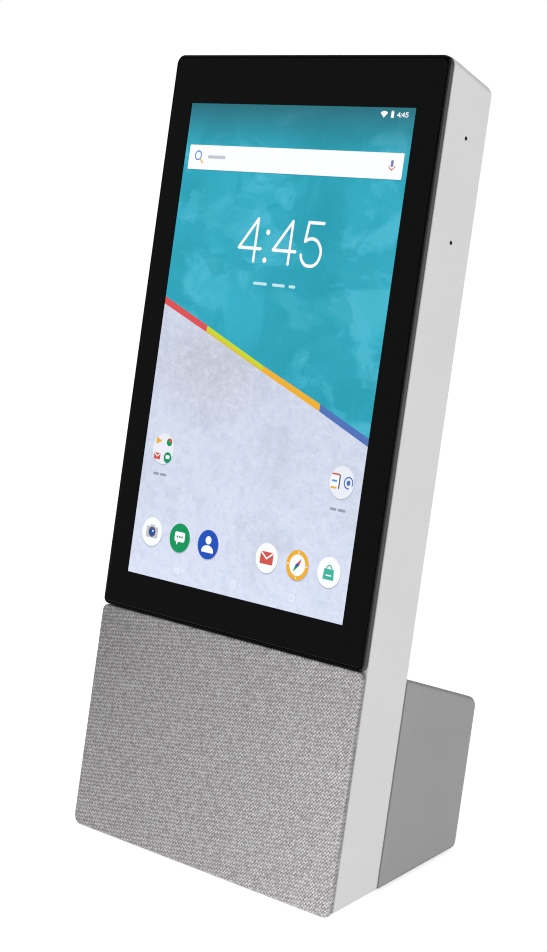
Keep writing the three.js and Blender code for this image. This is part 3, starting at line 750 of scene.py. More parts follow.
class Layer:
    def __init__(self):
        self.v, self.f, self.m, self.mats = [], [], [], []

    def idx(self, mat):
        if mat not in self.mats:
            self.mats.append(mat)
        return self.mats.index(mat)

    def poly(self, pts, mat, level):
        k = len(self.v)
        self.v += [(float(x), UI_N - 0.012 * level, float(y)) for x, y in pts]
        self.f.append(tuple(range(k, k + len(pts))))
        self.m.append(self.idx(mat))

    def disc(self, c, r, mat, level, seg=48):
        self.poly([c + r * np.array([math.cos(t), math.sin(t)]) for t in np.arange(seg) * 2 * math.pi / seg], mat, level)

    def arc(self, c, r, w, a0, a1, mat, level, seg=28):
        """a band of mean radius r and width w, angles in degrees"""
        ts = [math.radians(a0 + (a1 - a0) * i / seg) for i in range(seg + 1)]
        for s, t in zip(ts, ts[1:]):
            e = [np.array([math.cos(x), math.sin(x)]) for x in (s, t)]
            self.poly([c + e[0] * (r - w / 2), c + e[0] * (r + w / 2), c + e[1] * (r + w / 2), c + e[1] * (r - w / 2)], mat, level)

    def stroke(self, pts, w, mat, level, cap=True):
        pts = [np.array(p, float) for p in pts]
        left, right = [], []
        for i, p in enumerate(pts):
            a = pts[i] - pts[i - 1] if i else pts[1] - pts[0]
            b = pts[i + 1] - pts[i] if i < len(pts) - 1 else a
            a, b = a / np.linalg.norm(a), b / np.linalg.norm(b)
            na, nb = np.array([-a[1], a[0]]), np.array([-b[1], b[0]])
            n = na + nb
            n = n / np.linalg.norm(n)
            s = w / 2 / max(0.35, float(n @ na))
            left.append(p + n * s)
            right.append(p - n * s)
        for i in range(len(pts) - 1):
            self.poly([left[i], left[i + 1], right[i + 1], right[i]], mat, level)
        if cap:
            self.disc(pts[0], w / 2, mat, level + 0.3, 16)
            self.disc(pts[-1], w / 2, mat, level + 0.3, 16)

    def bar(self, x0, y0, x1, y1, r, mat, level):
        self.poly(outline(rect(x0, y0, x1, y1), [r] * 4, 0, 6), mat, level)

    def build(self, name):
        me = bpy.data.meshes.new(name)
        me.from_pydata(self.v, [], self.f)
        me.polygons.foreach_set("material_index", self.m)
        ob = bpy.data.objects.new(name, me)
        scene.collection.objects.link(ob)
        bm = bmesh.new()
        bm.from_mesh(me)
        for f in bm.faces:
            if f.normal.y > 0:
                f.normal_flip()
        # each graphic is a thin closed leaf, not a bare face
        faces = list(bm.faces)
        ext = bmesh.ops.solidify(bm, geom=faces, thickness=0.008)
        bm.to_mesh(me)
        bm.free()
        place(ob, M_SLAB, "stand", self.mats, angle=20, weighted=False)
        return ob


def smooth_line(pts, k=8):
    """Catmull-Rom line through the points"""
    p = [np.array(x, float) for x in pts]
    p = [2 * p[0] - p[1]] + p + [2 * p[-1] - p[-2]]
    out = []
    for i in range(1, len(p) - 2):
        for s in range(k):
            t = s / k
            out.append(0.5 * ((2 * p[i]) + (-p[i - 1] + p[i + 1]) * t + (2 * p[i - 1] - 5 * p[i] + 4 * p[i + 1] - p[i + 2]) * t * t
                              + (-p[i - 1] + 3 * p[i] - 3 * p[i + 1] + p[i + 2]) * t ** 3))
    return out + [p[-2]]


P_WHITE = flat_lit("lit_white", 252, 254, 255)
P_RED = flat_lit("lit_red", 222, 84, 86)
P_LIME = flat_lit("lit_lime", 203, 217, 52)
P_AMBER = flat_lit("lit_amber", 240, 178, 55)
P_BLUE = flat_lit("lit_blue", 84, 116, 186)
P_TEAL, P_LAV = lit("lit_teal_paint", teal), lit("lit_lavender_plaster", lavender)
P_GREEN = flat_lit("lit_green", 24, 152, 92)
P_NAVY = flat_lit("lit_navy", 38, 84, 190)
P_INK = flat_lit("lit_slate", 84, 90, 104)
P_MIST = flat_lit("lit_mist", 236, 239, 247)
P_SILVER = flat_lit("lit_silver", 196, 200, 210)
P_LABEL = flat_lit("lit_label", 156, 162, 178)
P_AQUA = flat_lit("lit_aqua", 66, 182, 160)
P_CORAL = flat_lit("lit_coral", 214, 88, 78)
P_SKY = flat_lit("lit_sky", 86, 150, 226)
P_SHADE = flat_lit("lit_shade", 176, 184, 204)
P_TSHADE = flat_lit("lit_teal_shade", 44, 148, 170)
P_ICE = flat_lit("lit_ice", 228, 244, 248)
P_NAV = flat_lit("lit_navigation", 247, 249, 254)

wall = Layer()
up = [U(0, 730), U(222, 820), U(505, 938), U(775, 1042), U(1000, 1135)]
dn = [U(0, 757), U(218, 843), U(503, 960), U(775, 1068), U(1000, 1163)]
wall.poly([U(0, 0), *up[:1], *up[1:], U(1000, 0)], P_TEAL, 0)
wall.poly([*dn, U(1000, 1780), U(0, 1780)], P_LAV, 0)
for i, c in enumerate((P_RED, P_LIME, P_AMBER, P_BLUE)):
    wall.poly([up[i], dn[i], dn[i + 1], up[i + 1]], c, 0)
# the lime band's lower edge warms towards amber
wall.poly([dn[1] + (up[1] - dn[1]) * 0.30, dn[1], dn[2], dn[2] + (up[2] - dn[2]) * 0.30], flat_lit("lit_warm_lime", 226, 190, 60), 0.5)
wall.build("picture_wallpaper")

ui = Layer()
a, b = U(20, 246), U(977, 155)
ui.bar(a[0] - 0.05, a[1] - 0.22, b[0] + 0.05, b[1], 0.5, P_TSHADE, 1)
ui.bar(a[0], a[1], b[0], b[1], 0.4, P_WHITE, 2)
# magnifier and a blank entry line
c = U(68, 198)
ui.arc(c + (-0.3, 0.35), 1.35, 0.46, 0, 360, P_SKY, 3)
ui.stroke([c + (0.75, -0.7), c + (2.0, -1.95)], 0.5, P_AMBER, 3)
ui.bar(*(U(112, 204)), *(U(196, 192)), 0.48, P_SILVER, 3)
# microphone glyph
c = U(932, 198)
ui.bar(c[0] - 0.52, c[1] - 0.5, c[0] + 0.52, c[1] + 1.55, 0.5, flat_lit("lit_mauve", 126, 132, 190), 3)
ui.arc(c + (0, -0.05), 1.12, 0.30, 180, 360, P_CORAL, 3)
ui.stroke([c + (0, -1.15), c + (0, -1.7)], 0.32, P_AMBER, 3, cap=False)
# status marks: signal fan, battery, small clock
c = U(870, 24)
ui.poly([c + (0, -1.0)] + [c + (0, -1.0) + 2.0 * np.array([math.cos(t), math.sin(t)]) for t in np.radians(np.linspace(45, 135, 9))], P_WHITE, 2)
c = U(905, 24)
ui.bar(c[0] - 0.55, c[1] - 1.0, c[0] + 0.55, c[1] + 0.85, 0.12, P_WHITE, 2)
ui.bar(c[0] - 0.24, c[1] + 0.85, c[0] + 0.24, c[1] + 1.1, 0.03, P_WHITE, 2)

FOUR = [[(0.74, 1.0), (0.74, 0.0), (0.0, 0.70), (1.0, 0.70)]]
FIVE = [[(0.95, 0.0), (0.22, 0.0), (0.13, 0.44)] , [(0.13, 0.44), (0.30, 0.385), (0.52, 0.37), (0.76, 0.43), (0.93, 0.57), (0.97, 0.70), (0.90, 0.86), (0.72, 0.97), (0.48, 1.0), (0.24, 0.97), (0.06, 0.86), (0.0, 0.76)]]


def numeral(layer, strokes, x0, y0, x1, y1, w, mat, level, curved=()):
    for i, s in enumerate(strokes):
        pts = [U(x0 + (x1 - x0) * a, y0 + (y1 - y0) * b) for a, b in s]
        if i in curved:
            pts = smooth_line(pts, 6)
        if len(s) == 4:  # separate straight strokes keep the acute corner crisp
            layer.stroke(pts[:2], w, mat, level)
            layer.stroke(pts[1:3], w, mat, level + 0.1)
            layer.stroke(pts[2:], w, mat, level + 0.2)
        else:
            layer.stroke(pts, w, mat, level)


def clock(layer, x0, y0, x1, y1, w, mat, level, dot):
    s, h = (x1 - x0) / 378.0, y1 - y0
    numeral(layer, FOUR, x0 + 5 * s, y0, x0 + 105 * s, y1, w, mat, level)
    numeral(layer, FOUR, x0 + 162 * s, y0, x0 + 262 * s, y1, w, mat, level)
    numeral(layer, FIVE, x0 + 288 * s, y0, x0 + 376 * s, y1, w, mat, level, curved=(1,))
    for f in (0.30, 0.955):
        layer.disc(U(x0 + 130 * s, y0 + h * f), dot, mat, level, 24)


clock(ui, 312, 413, 690, 567, 0.98, P_WHITE, 2, 0.84)
clock(ui, 924, 17, 969, 32, 0.26, P_WHITE, 2, 0.17)
for x0, x1 in ((406, 468), (492, 549), (567, 596)):
    a, b = U(x0, 651), U(x1, 640.5)
    ui.bar(a[0], a[1], b[0], b[1], 0.42, flat_lit(f"lit_date_{x0}", 196, 230, 238), 2)
# folders
for cx in (92, 912):
    c = U(cx, 1298)
    ui.disc(c + (0.12, -0.25), 4.9, P_SHADE, 0.6)
    ui.disc(c, 4.85, P_MIST, 1.2)
    for k, (x0, x1) in enumerate(((cx - 34, cx - 6), (cx, cx + 32))):
        a, b = U(x0, 1399), U(x1, 1389)
        ui.bar(a[0], a[1], b[0], b[1], 0.38, P_LABEL, 1)
c = U(66, 1270)
ui.poly([c + (-1.2, 1.2), c + (-1.2, -1.2), c + (1.4, 0.0)], P_AMBER, 2.4)
c = U(117, 1270)
ui.disc(c, 1.25, P_GREEN, 2.4, 24)
ui.poly([c + (0, 0), c + (1.3, 0), c + (0.7, 1.15), c + (-0.7, 1.15)], P_CORAL, 2.8)
c = U(66, 1328)
ui.bar(c[0] - 1.45, c[1] - 1.0, c[0] + 1.45, c[1] + 1.0, 0.2, P_CORAL, 2.4)
ui.stroke([c + (-1.3, 0.85), c + (0, -0.1), c + (1.3, 0.85)], 0.32, P_WHITE, 3.0, cap=False)
c = U(117, 1328)
ui.disc(c, 1.75, P_GREEN, 2.4, 24)
ui.bar(c[0] - 0.9, c[1] - 0.4, c[0] + 0.9, c[1] + 0.75, 0.3, P_WHITE, 3.0)
c = U(884, 1297)
ui.bar(c[0] - 1.8, c[1] - 2.2, c[0] + 1.8, c[1] + 2.2, 0.3, P_WHITE, 2.0)
ui.stroke([c + (-1.5, 2.1), c + (1.6, 2.1)], 0.5, P_CORAL, 2.4, cap=False)
ui.stroke([c + (1.7, 2.1), c + (1.7, -2.1)], 0.5, P_INK, 2.4, cap=False)
ui.stroke([c + (-1.5, -1.9), c + (0.9, -1.9)], 0.6, P_AMBER, 2.4, cap=False)
ui.stroke([c + (-1.3, 0.1), c + (0.7, 0.1)], 0.6, P_SKY, 2.4, cap=False)
c = U(940, 1296)
ui.arc(c, 1.65, 0.42, -30, 285, P_BLUE, 2.4)
ui.disc(c, 0.78, P_BLUE, 2.4, 24)
# dock
R = 4.57
DOCK = {x: U(x, 1613) for x in (92, 229, 366, 638, 775, 911)}
for x, c in DOCK.items():
    ui.disc(c + (0.1, -0.3), R + 0.05, P_SHADE, 0.6, 64)
for x, mat in zip(DOCK, (P_WHITE, P_GREEN, P_NAVY, P_WHITE, P_AMBER, P_WHITE)):
    ui.disc(DOCK[x], R, mat, 1.4, 64)
c = DOCK[92]
ui.bar(c[0] - 2.7, c[1] - 1.9, c[0] + 2.7, c[1] + 1.7, 0.5, P_SILVER, 2.2)
ui.bar(c[0] - 1.1, c[1] + 1.5, c[0] + 1.1, c[1] + 2.3, 0.2, P_SILVER, 2.2)
ui.disc(c, 1.62, P_INK, 3.0, 32)
ui.disc(c, 1.02, P_NAVY, 3.6, 32)
ui.disc(c + (0.35, 0.35), 0.34, P_ICE, 4.2, 16)
c = DOCK[229]
ui.bar(c[0] - 2.3, c[1] - 1.2, c[0] + 2.3, c[1] + 1.9, 0.7, P_WHITE, 2.2)
ui.poly([c + (-0.2, -1.1), c + (-1.2, -2.3), c + (-1.4, -1.1)], P_WHITE, 2.4)
for dx in (-1.05, 0.0, 1.05):
    ui.disc(c + (dx, 0.35), 0.36, P_GREEN, 3.0, 16)
c = DOCK[366]
ui.disc(c + (0, 1.35), 1.28, P_WHITE, 2.2, 32)
ui.poly([c + (-2.6, -2.5), c + (2.6, -2.5)] + [c + (2.6 * math.cos(t), -2.0 + 1.75 * math.sin(t)) for t in np.radians(np.linspace(0, 180, 19))], P_WHITE, 2.2)
c = DOCK[638]
ui.bar(c[0] - 2.7, c[1] - 1.9, c[0] + 2.7, c[1] + 1.9, 0.35, P_CORAL, 2.2)
ui.stroke([c + (-2.5, 1.7), c + (0, -0.15), c + (2.5, 1.7)], 0.5, P_WHITE, 3.0, cap=False)
c = DOCK[775]
ui.disc(c, 3.2, P_WHITE, 2.2, 48)
ui.poly([c + (-0.85, 0.0), c + (1.5, 2.2), c + (0.85, 0.0)], P_CORAL, 3.0)
ui.poly([c + (-0.85, 0.0), c + (-1.5, -2.2), c + (0.85, 0.0)], P_GREEN, 3.0)
ui.disc(c, 0.5, P_NAVY, 3.6, 20)
for t in range(0, 360, 90):
    e = np.array([math.cos(math.radians(t)), math.sin(math.radians(t))])
    ui.stroke([c + e * 3.5, c + e * 4.15], 0.36, P_WHITE, 2.6, cap=False)
c = DOCK[911]
ui.poly([c + (-1.9, 1.0), c + (-2.2, -2.2), c + (2.2, -2.2), c + (1.9, 1.0)], P_AQUA, 2.2)
ui.arc(c + (0, 1.0), 1.05, 0.42, 0, 180, P_AQUA, 2.2)
ui.stroke([c + (-0.9, -0.9), c + (0.9, -0.9)], 0.4, P_WHITE, 3.0)
# faint navigation marks
c = U(235, 1733)
ui.stroke([c + (0.9, 0.9), c + (-0.7, 0), c + (0.9, -0.9), c + (0.9, 0.9)], 0.26, P_NAV, 1)
ui.arc(U(505, 1733), 0.95, 0.26, 0, 360, P_NAV, 1)
c = U(770, 1731)
ui.stroke([c + (-0.85, -0.85), c + (0.85, -0.85), c + (0.85, 0.85), c + (-0.85, 0.85), c + (-0.85, -0.85)], 0.26, P_NAV, 1)
ui.build("picture_marks")

# the dark leaf that carries the picture, in the opening behind the glass
leaf = raw("picture_leaf", *chain([opening(0.335, -0.02), opening(0.44, -0.02)]))
place(leaf, M_SLAB, "stand", INK, angle=24)

# ------------------------------------------------------------------ grille cloth
def cloth_material():
    """plain weave in a heathered yarn: each crossing is a little lighter or darker than its neighbours"""
    m = Mat("grille_woven_cloth")
    # on the turned-down edge the weave carries on round the corner
    side = m.add(m.math("ABSOLUTE", m.x), m.mul(m.y, 0.8))
    sx = m.math("SIGN", m.x)
    xx = m.mul(side, sx)
    a = m.add(m.mul(xx, 0.82), m.mul(m.z, -0.05))
    b = m.add(m.mul(xx, -0.12), m.add(m.mul(m.z, 0.85), m.mul(m.y, -0.7)))
    wob = m.map(m.noise(0.22, 3, 0.6), 0.3, 0.7, -CLOTH_WANDER, CLOTH_WANDER, False)
    wob2 = m.map(m.noise(0.19, 3, 0.6, 0.0, (1.0, 1.0, 1.3)), 0.3, 0.7, -CLOTH_WANDER, CLOTH_WANDER, False)
    a, b = m.add(a, wob), m.add(b, wob2)
    tau = 2 * math.pi
    cos = lambda t: m.math("COSINE", m.mul(t, tau))
    # the twill line stands out more towards the right, the filling rows towards the left
    twill, rows = m.map(m.x, -57, 57, 0.62, 1.0), m.map(m.x, -57, 57, 1.0, 0.66)
    h = m.add(m.add(m.mul(cos(m.add(a, b)), CLOTH_H[0]), m.mul(m.mul(cos(m.math("SUBTRACT", a, b)), CLOTH_H[1]), twill)),
              m.add(m.mul(m.mul(cos(b), CLOTH_H[2]), rows), m.mul(cos(a), CLOTH_H[3])))
    cell = m.nt.nodes.new("ShaderNodeCombineXYZ")
    m.put(cell.inputs[0], m.math("FLOOR", m.mul(a, 2.0)))
    m.put(cell.inputs[1], m.math("FLOOR", m.mul(b, 2.0)))
    white = m.nt.nodes.new("ShaderNodeTexWhiteNoise")
    white.noise_dimensions = "3D"
    m.nt.links.new(cell.outputs[0], white.inputs["Vector"])
    crossing = white.outputs["Value"]
    warp = m.noise(1.0, 2, 0.5, 0.0, (1.6, 1.0, 0.22))
    weft = m.noise(1.0, 2, 0.5, 0.0, (0.20, 1.0, 1.7))
    fibre = m.noise(6.0, 3, 0.7)
    t = m.map(h, -1.0, 1.0, 1 - CLOTH_CONTRAST, 1 + CLOTH_CONTRAST, False)
    t = m.mul(t, m.map(crossing, 0, 1, 1 - CLOTH_CELL, 1 + CLOTH_CELL, False))
    t = m.mul(t, m.map(warp, 0.3, 0.7, 0.98, 1.02, False))
    t = m.mul(t, m.map(weft, 0.3, 0.7, 0.97, 1.03, False))
    t = m.mul(t, m.map(fibre, 0.3, 0.7, 0.90, 1.10))
    t = m.math("MAXIMUM", t, 0.12)
    # painted light: the cloth is lighter to the right and down
    painted_light_lr = m.add(m.map(m.x, -57, 0, CLOTH_PAINTED_LIGHT_LR[0], CLOTH_PAINTED_LIGHT_LR[1]), m.map(m.x, 0, 57, 0.0, CLOTH_PAINTED_LIGHT_LR[2] - CLOTH_PAINTED_LIGHT_LR[1]))
    t = m.mul(t, m.mul(painted_light_lr, m.map(m.z, 0, 72, CLOTH_PAINTED_LIGHT_UD[0], CLOTH_PAINTED_LIGHT_UD[1])))
    # painted light and shade: the left end is lighter low down and darker high up
    corner = m.mul(m.map(m.x, -57, -28, 1.0, 0.0), m.map(m.z, 5, 67, 0.09, -0.11))
    t = m.mul(t, m.add(1.0, corner))
    # painted shade: the cloth is darker where it turns over the carrier
    edge = m.map(m.y, 0.25, 0.85, 1.0, 0.60)
    t = m.mul(t, edge)
    base = m.mix(m.map(crossing, 0.2, 0.8, 0, 1), CLOTH_WARM, CLOTH_COOL)
    nb = m.bump(h, 0.05, 0.5)
    nb = m.bump(fibre, 0.03, 0.5, nb)
    sh = m.principled(Base_Color=m.tone(base, t), Roughness=m.map(fibre, 0.3, 0.7, 0.86, 0.98), Specular_IOR_Level=0.2,
                      Sheen_Weight=0.08, Sheen_Roughness=0.5, Normal=nb)
    return m.finish(sh)


CLOTH_H = (-0.45, 0.72, 0.48, 0.21)
CLOTH_CELL = 0.30
CLOTH_WANDER = 0.08
# gradients of the painted light across and up the cloth
CLOTH_PAINTED_LIGHT_LR = (0.78, 0.96, 1.19)
CLOTH_PAINTED_LIGHT_UD = (1.10, 0.885)
CLOTH_CONTRAST = 0.42
CLOTH_WARM = (0.462, 0.446, 0.446, 1)
CLOTH_COOL = (0.436, 0.428, 0.438, 1)
CLOTH = cloth_material()


def cloth():
    x0, x1, v0, v1 = -57.0, 57.0, -0.5, 72.0
    rb, rt, edge = 3.0, 2.0, 0.85
    step = 0.31
    lead = [0.0, 0.03, 0.10, 0.22, 0.40, 0.62]

    def ticks(lo, hi):
        k = int(round((hi - lo - 1.8) / step))
        return np.array([lo + t for t in lead] + list(np.linspace(lo + 0.9, hi - 0.9, k + 1)) + [hi - t for t in reversed(lead)])

    us, vs = ticks(x0, x1), ticks(v0, v1)
    nu, nv = len(us), len(vs)
    half = np.full(nv, 57.0)
    for i, v in enumerate(vs):
        for r, d in ((rb, v - v0), (rt, v1 - v)):
            if d < r:
                half[i] = 57.0 - (r - math.sqrt(max(0.0, r * r - (r - d) ** 2)))
    X = us[None, :] / 57.0 * half[:, None]
    V = np.repeat(vs[:, None], nu, 1)
    # distance in from the rounded outline
    D = np.minimum(np.minimum(X - x0, x1 - X), np.minimum(V - v0, v1 - V))
    for cx, cv, r in ((x0 + rb, v0 + rb, rb), (x1 - rb, v0 + rb, rb), (x0 + rt, v1 - rt, rt), (x1 - rt, v1 - rt, rt)):
        sx, sv = (1 if cx > 0 else -1), (1 if cv > 30 else -1)
        m = ((X - cx) * sx > 0) & ((V - cv) * sv > 0)
        D[m] = r - np.hypot(X[m] - cx, V[m] - cv)
    D = np.maximum(D, 0)
    t = np.clip(D / edge, 0, 1)
    N = edge * (1 - np.sqrt(np.clip(1 - (1 - t) ** 2, 0, 1)))
    # the yarns stand out of the face
    a, b = 0.82 * X - 0.05 * V, -0.12 * X + 0.85 * V
    wander = lambda p, q, r: 0.04 * (np.sin(X * p + V * q + r) + np.sin(X * q * 1.7 - V * p * 1.3 + 2 * r))
    a, b = a + wander(0.61, 0.23, 0.4), b + wander(0.19, 0.53, 1.9)
    H = sum(k * np.cos(2 * np.pi * q) for k, q in zip(CLOTH_H, (a + b, a - b, b, a))) / 1.3
    amp = 0.030 * np.clip((D - 0.5) / 1.5, 0, 1)
    # the cloth is drawn tight, with a very slight slackness between its glued edges
    slack = 0.05 * np.sin(np.pi * (X - x0) / 114) * np.sin(np.pi * (V - v0) / 72.5)
    N = N + amp * (1 - H) + slack
    verts = np.stack([X, N, V], 2).reshape(-1, 3)
    ids = np.arange(nu * nv).reshape(nv, nu)
    quads = np.stack([ids[:-1, :-1], ids[:-1, 1:], ids[1:, 1:], ids[1:, :-1]], 2).reshape(-1, 4)
    rim = list(ids[0, :]) + list(ids[1:, -1]) + list(ids[-1, -2::-1]) + list(ids[-2:0:-1, 0])
    ring = verts[rim]
    # the cloth turns round the carrier's edge and back under it
    cx = np.clip(ring[:, 0], x0 + 3, x1 - 3)
    cv = np.clip(ring[:, 2], v0 + 3, v1 - 3)
    inward = np.stack([cx - ring[:, 0], np.zeros(len(ring)), cv - ring[:, 2]], 1)
    inward /= np.maximum(np.linalg.norm(inward, axis=1)[:, None], 1e-9)
    rings = []
    for n, d in ((1.15, 0.0), (1.5, 0.0), (1.85, 0.0), (2.02, 0.06), (2.08, 0.20), (2.08, 0.38), (1.9, 0.42), (0.92, 0.42)):
        r = ring + inward * d
        r[:, 1] = n
        # the lower edge is folded level, clear of the surface it stands on
        r[:, 2] = np.maximum(r[:, 2], v0 + FLOOR * max(0.0, n - 0.85))
        rings.append(r)
    faces = [tuple(q) for q in quads.tolist()]
    allv = [verts] + rings
    prev = rim
    start = len(verts)
    m = len(rim)
    for k in range(len(rings)):
        cur = list(range(start, start + m))
        faces += [(prev[j], prev[(j + 1) % m], cur[(j + 1) % m], cur[j]) for j in range(m)]
        prev, start = cur, start + m
    # the cloth's own back, just behind its face
    inner = ring + inward * 1.1
    inner[:, 1] = 0.55
    allv.append(inner)
    cur = list(range(start, start + m))
    faces += [(prev[j], prev[(j + 1) % m], cur[(j + 1) % m], cur[j]) for j in range(m)]
    faces.append(tuple(cur))
    return raw("grille_fabric", np.concatenate(allv), faces)


fabric = cloth()
place(fabric, M_SLAB, "stand", CLOTH, ["grille_cloth"], angle=80, weighted=False)

# ------------------------------------------------------------------ keys and slider, on the sloping top
def key(name, body, node, cx, mark):
    def S(w, h, z):
        return at_z(stadium(w, h), z) + np.array([cx, 9.5, 0])
    secs = [S(11.6, 5.2, -3.1), S(11.6, 5.2, -2.5), S(9.4, 3.0, -2.5), S(9.4, 3.0, 0.20)]
    for i in range(1, 7):
        a = math.pi / 2 * i / 6
        secs.append(S(9.4 - 0.7 * (1 - math.cos(a)), 3.0 - 0.7 * (1 - math.cos(a)), 0.20 + 0.33 * math.sin(a)))
    secs.append(S(7.6, 1.5, 0.50))
    secs.append(S(6.8, 0.8, 0.47))
    ob = raw(name, *chain(secs))
    if mark == "dot":
        m = raw("mark", *lathe([(0, 0.3), (0.42, 0.3), (0.42, 0.47), (0.3, 0.545), (0, 0.55)], 24, "z", (cx, 9.5, 0)))
    else:
        m = None
    if m is not None:
        cut(ob, [m], "UNION")
    if mark == "dish":
        m = raw("mark", *lathe([(0, 0.36), (0.35, 0.38), (0.6, 0.47), (0.72, 0.9), (0, 0.9)], 28, "z", (cx, 9.5, 0)))
        cut(ob, [m])
    place(ob, M_TOP, body, KEY, [node], angle=34)


key("power_key_cap", "power_key", "power_button", 38, "dish")
key("volume_up_cap", "volume_up_key", "volume_up_button", 15, "dot")
key("volume_down_cap", "volume_down_key", "volume_down_button", 1, "")


def slider():
    cx, cy = -25.25, 9.5

    def S(w, h, z, r=None):
        o = stadium(w, h) if r is None else outline(rect(-w / 2, -h / 2, w / 2, h / 2), [r] * 4, 0, 10)
        return at_z(o, z) + np.array([cx, cy, 0])
    secs = [S(13.5, 5.4, -3.1, 0.4), S(13.5, 5.4, -2.5, 0.4), S(4.2, 2.8, -2.5), S(4.2, 2.8, 0.18)]
    for i in range(1, 5):
        a = math.pi / 2 * i / 4
        secs.append(S(4.2 - 0.5 * (1 - math.cos(a)), 2.8 - 0.5 * (1 - math.cos(a)), 0.18 + 0.25 * math.sin(a)))
    ob = raw("mute_slider_knob", *chain(secs))
    grooves = []
    for dx in (-0.9, 0.0, 0.9):
        o = outline(rect(-0.17, -0.95, 0.17, 0.95), [0.16] * 4, 0, 5) + np.array([cx + dx, cy])
        grooves.append(raw("groove", *chain([at_z(o, 0.27), at_z(o, 1.0)])))
    cut(ob, [join(grooves)])
    place(ob, M_TOP, "mute_knob", KNOB, ["mic_mute_slider"], angle=34)


slider()

# ------------------------------------------------------------------ underside
plate_o = rect(-54.4, 23.0, 54.4, 55.3)


def plate_section(z, inset):
    return at_z(outline(plate_o, [1.2] * 4, inset, 6), z)


plate = raw("bottom_cover", *chain([plate_section(0.1, 0.3), plate_section(0.2, 0.1), plate_section(0.4, 0.0), plate_section(1.7, 0.0), plate_section(1.9, 0.15)]))
pc = []
for x in (-51.4, 51.4):
    for y in (29.0, 45.0):
        pc.append(raw("bore", *lathe([(0, -1), (2.75, -1), (2.75, 0.06), (2.4, 0.36), (2.4, 1.15), (1.1, 1.15), (1.1, 3.0), (0, 3.0)], 36, "z", (x, y, 0))))
pr = outline(rect(-42.2, 48.0, 42.2, 54.7), [2.6] * 4, 0, 8)
pc.append(raw("pocket", *chain([at_z(pr, -1.0), at_z(pr, 0.65)])))
# a shallow blank recess where a rating plate would sit
br = outline(rect(-26, 30, 26, 43), [1.5] * 4, 0, 6)
pc.append(raw("recess", *chain([at_z(br, -1.0), at_z(br, 0.28)])))
cut(plate, [join(pc)])
place(plate, M_STAND, "stand", PLATE, ["bottom_plate"], angle=30)


def foot(name, node, y0, y1):
    o = rect(-42, y0, 42, y1)
    secs = [at_z(outline(o, [2.5] * 4, i, 10), z) for z, i in ((0.45, 0.12), (0.38, 0.0), (-0.35, 0.0), (-0.55, 0.05), (-0.70, 0.18), (-0.78, 0.38))]
    secs.append(at_z(outline(o, [2.5] * 4, 0.6, 10), -0.80))
    ob = raw(name, *chain(secs))
    # fine grooves across the tread
    tools = []
    for x in np.arange(-38, 38.1, 2.0):
        g = outline(rect(x - 0.3, y0 + 1.2, x + 0.3, y1 - 1.2), [0.28] * 4, 0, 3)
        tools.append(raw("tread", *chain([at_z(g, -1.2), at_z(g, -0.62)])))
    cut(ob, [join(tools)])
    place(ob, M_STAND, "stand", RUBBER, [node], angle=34)


foot("front_foot_pad", "foot_front", 5.0, 11.0)
foot("rear_foot_pad", "foot_rear", 48.2, 54.5)

for i, (x, y) in enumerate(((-51.4, 29.0), (51.4, 29.0), (-51.4, 45.0), (51.4, 45.0)), 1):
    lo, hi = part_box(f"bottom_screw_{i}")
    c = np.array([(lo.x + hi.x) * 500, ((lo.y + hi.y) / 2 - OY) * 1000, 0])
    prof = [(0, 0.22), (1.2, 0.22), (1.75, 0.30), (2.0, 0.45), (2.08, 0.62), (2.08, 0.92), (1.98, 1.0), (0.98, 1.0), (0.98, 1.2)]
    for k in range(6):
        z = 1.2 + k * 0.45
        prof += [(0.98, z), (0.78, z + 0.2), (0.98, z + 0.4)]
    zt = 1.2 + 6 * 0.45
    prof += [(0.7, zt + 0.2), (0, zt + 0.25)]
    head = raw(f"base_screw_{i}", *lathe(prof, 40, "z", c))
    lobes = []
    for k in range(6):
        t = k * math.pi / 3
        lobes.append(raw("lobe", *lathe([(0, -1), (0.30, -1), (0.30, 0.80), (0, 0.80)], 16, "z", c + np.array([0.62 * math.cos(t), 0.62 * math.sin(t), 0]))))
    core = raw("core", *lathe([(0, -1), (0.62, -1), (0.62, 0.80), (0, 0.9)], 24, "z", c))
    cut(head, lobes + [core])
    place(head, M_STAND, "stand", SCREW, [f"bottom_screw_{i}"], angle=34)

# ------------------------------------------------------------------ power inlet
po = rect(-4.5, 29 - 1.65, 4.5, 29 + 1.65)


def port(n, inset):
    return at_n(outline(po, [1.62] * 4, inset, 12), n)


shell = raw("port_shell", *chain([port(49.9, 0), port(54.8, 0), port(54.94, 0.05), port(55.0, 0.15), port(54.96, 0.28), port(54.7, 0.36), port(50.9, 0.36)]))
place(shell, M_SLAB, "stand", PORT, ["usb_port_shell"], angle=34)
to = rect(-3.2, 28.66, 3.2, 29.34)
tongue = raw("port_tongue", *chain([at_n(outline(to, [0.3] * 4, 0, 5), 51.1), at_n(outline(to, [0.3] * 4, 0, 5), 54.2), at_n(outline(to, [0.3] * 4, 0.14, 5), 54.35)]))
place(tongue, M_SLAB, "stand", TONGUE, angle=34)
pins = []
for k in range(12):
    x = -2.75 + k * 0.5
    for v in (29.33, 28.62):
        pins.append(raw("pin", *chain([at_n(outline(rect(x - 0.12, v, x + 0.12, v + 0.05), [0.02] * 4, 0, 2), n) for n in (51.4, 53.7)])))
contacts = join(pins)
contacts.name = "port_contacts"
place(contacts, M_SLAB, "stand", CONTACT, angle=34)

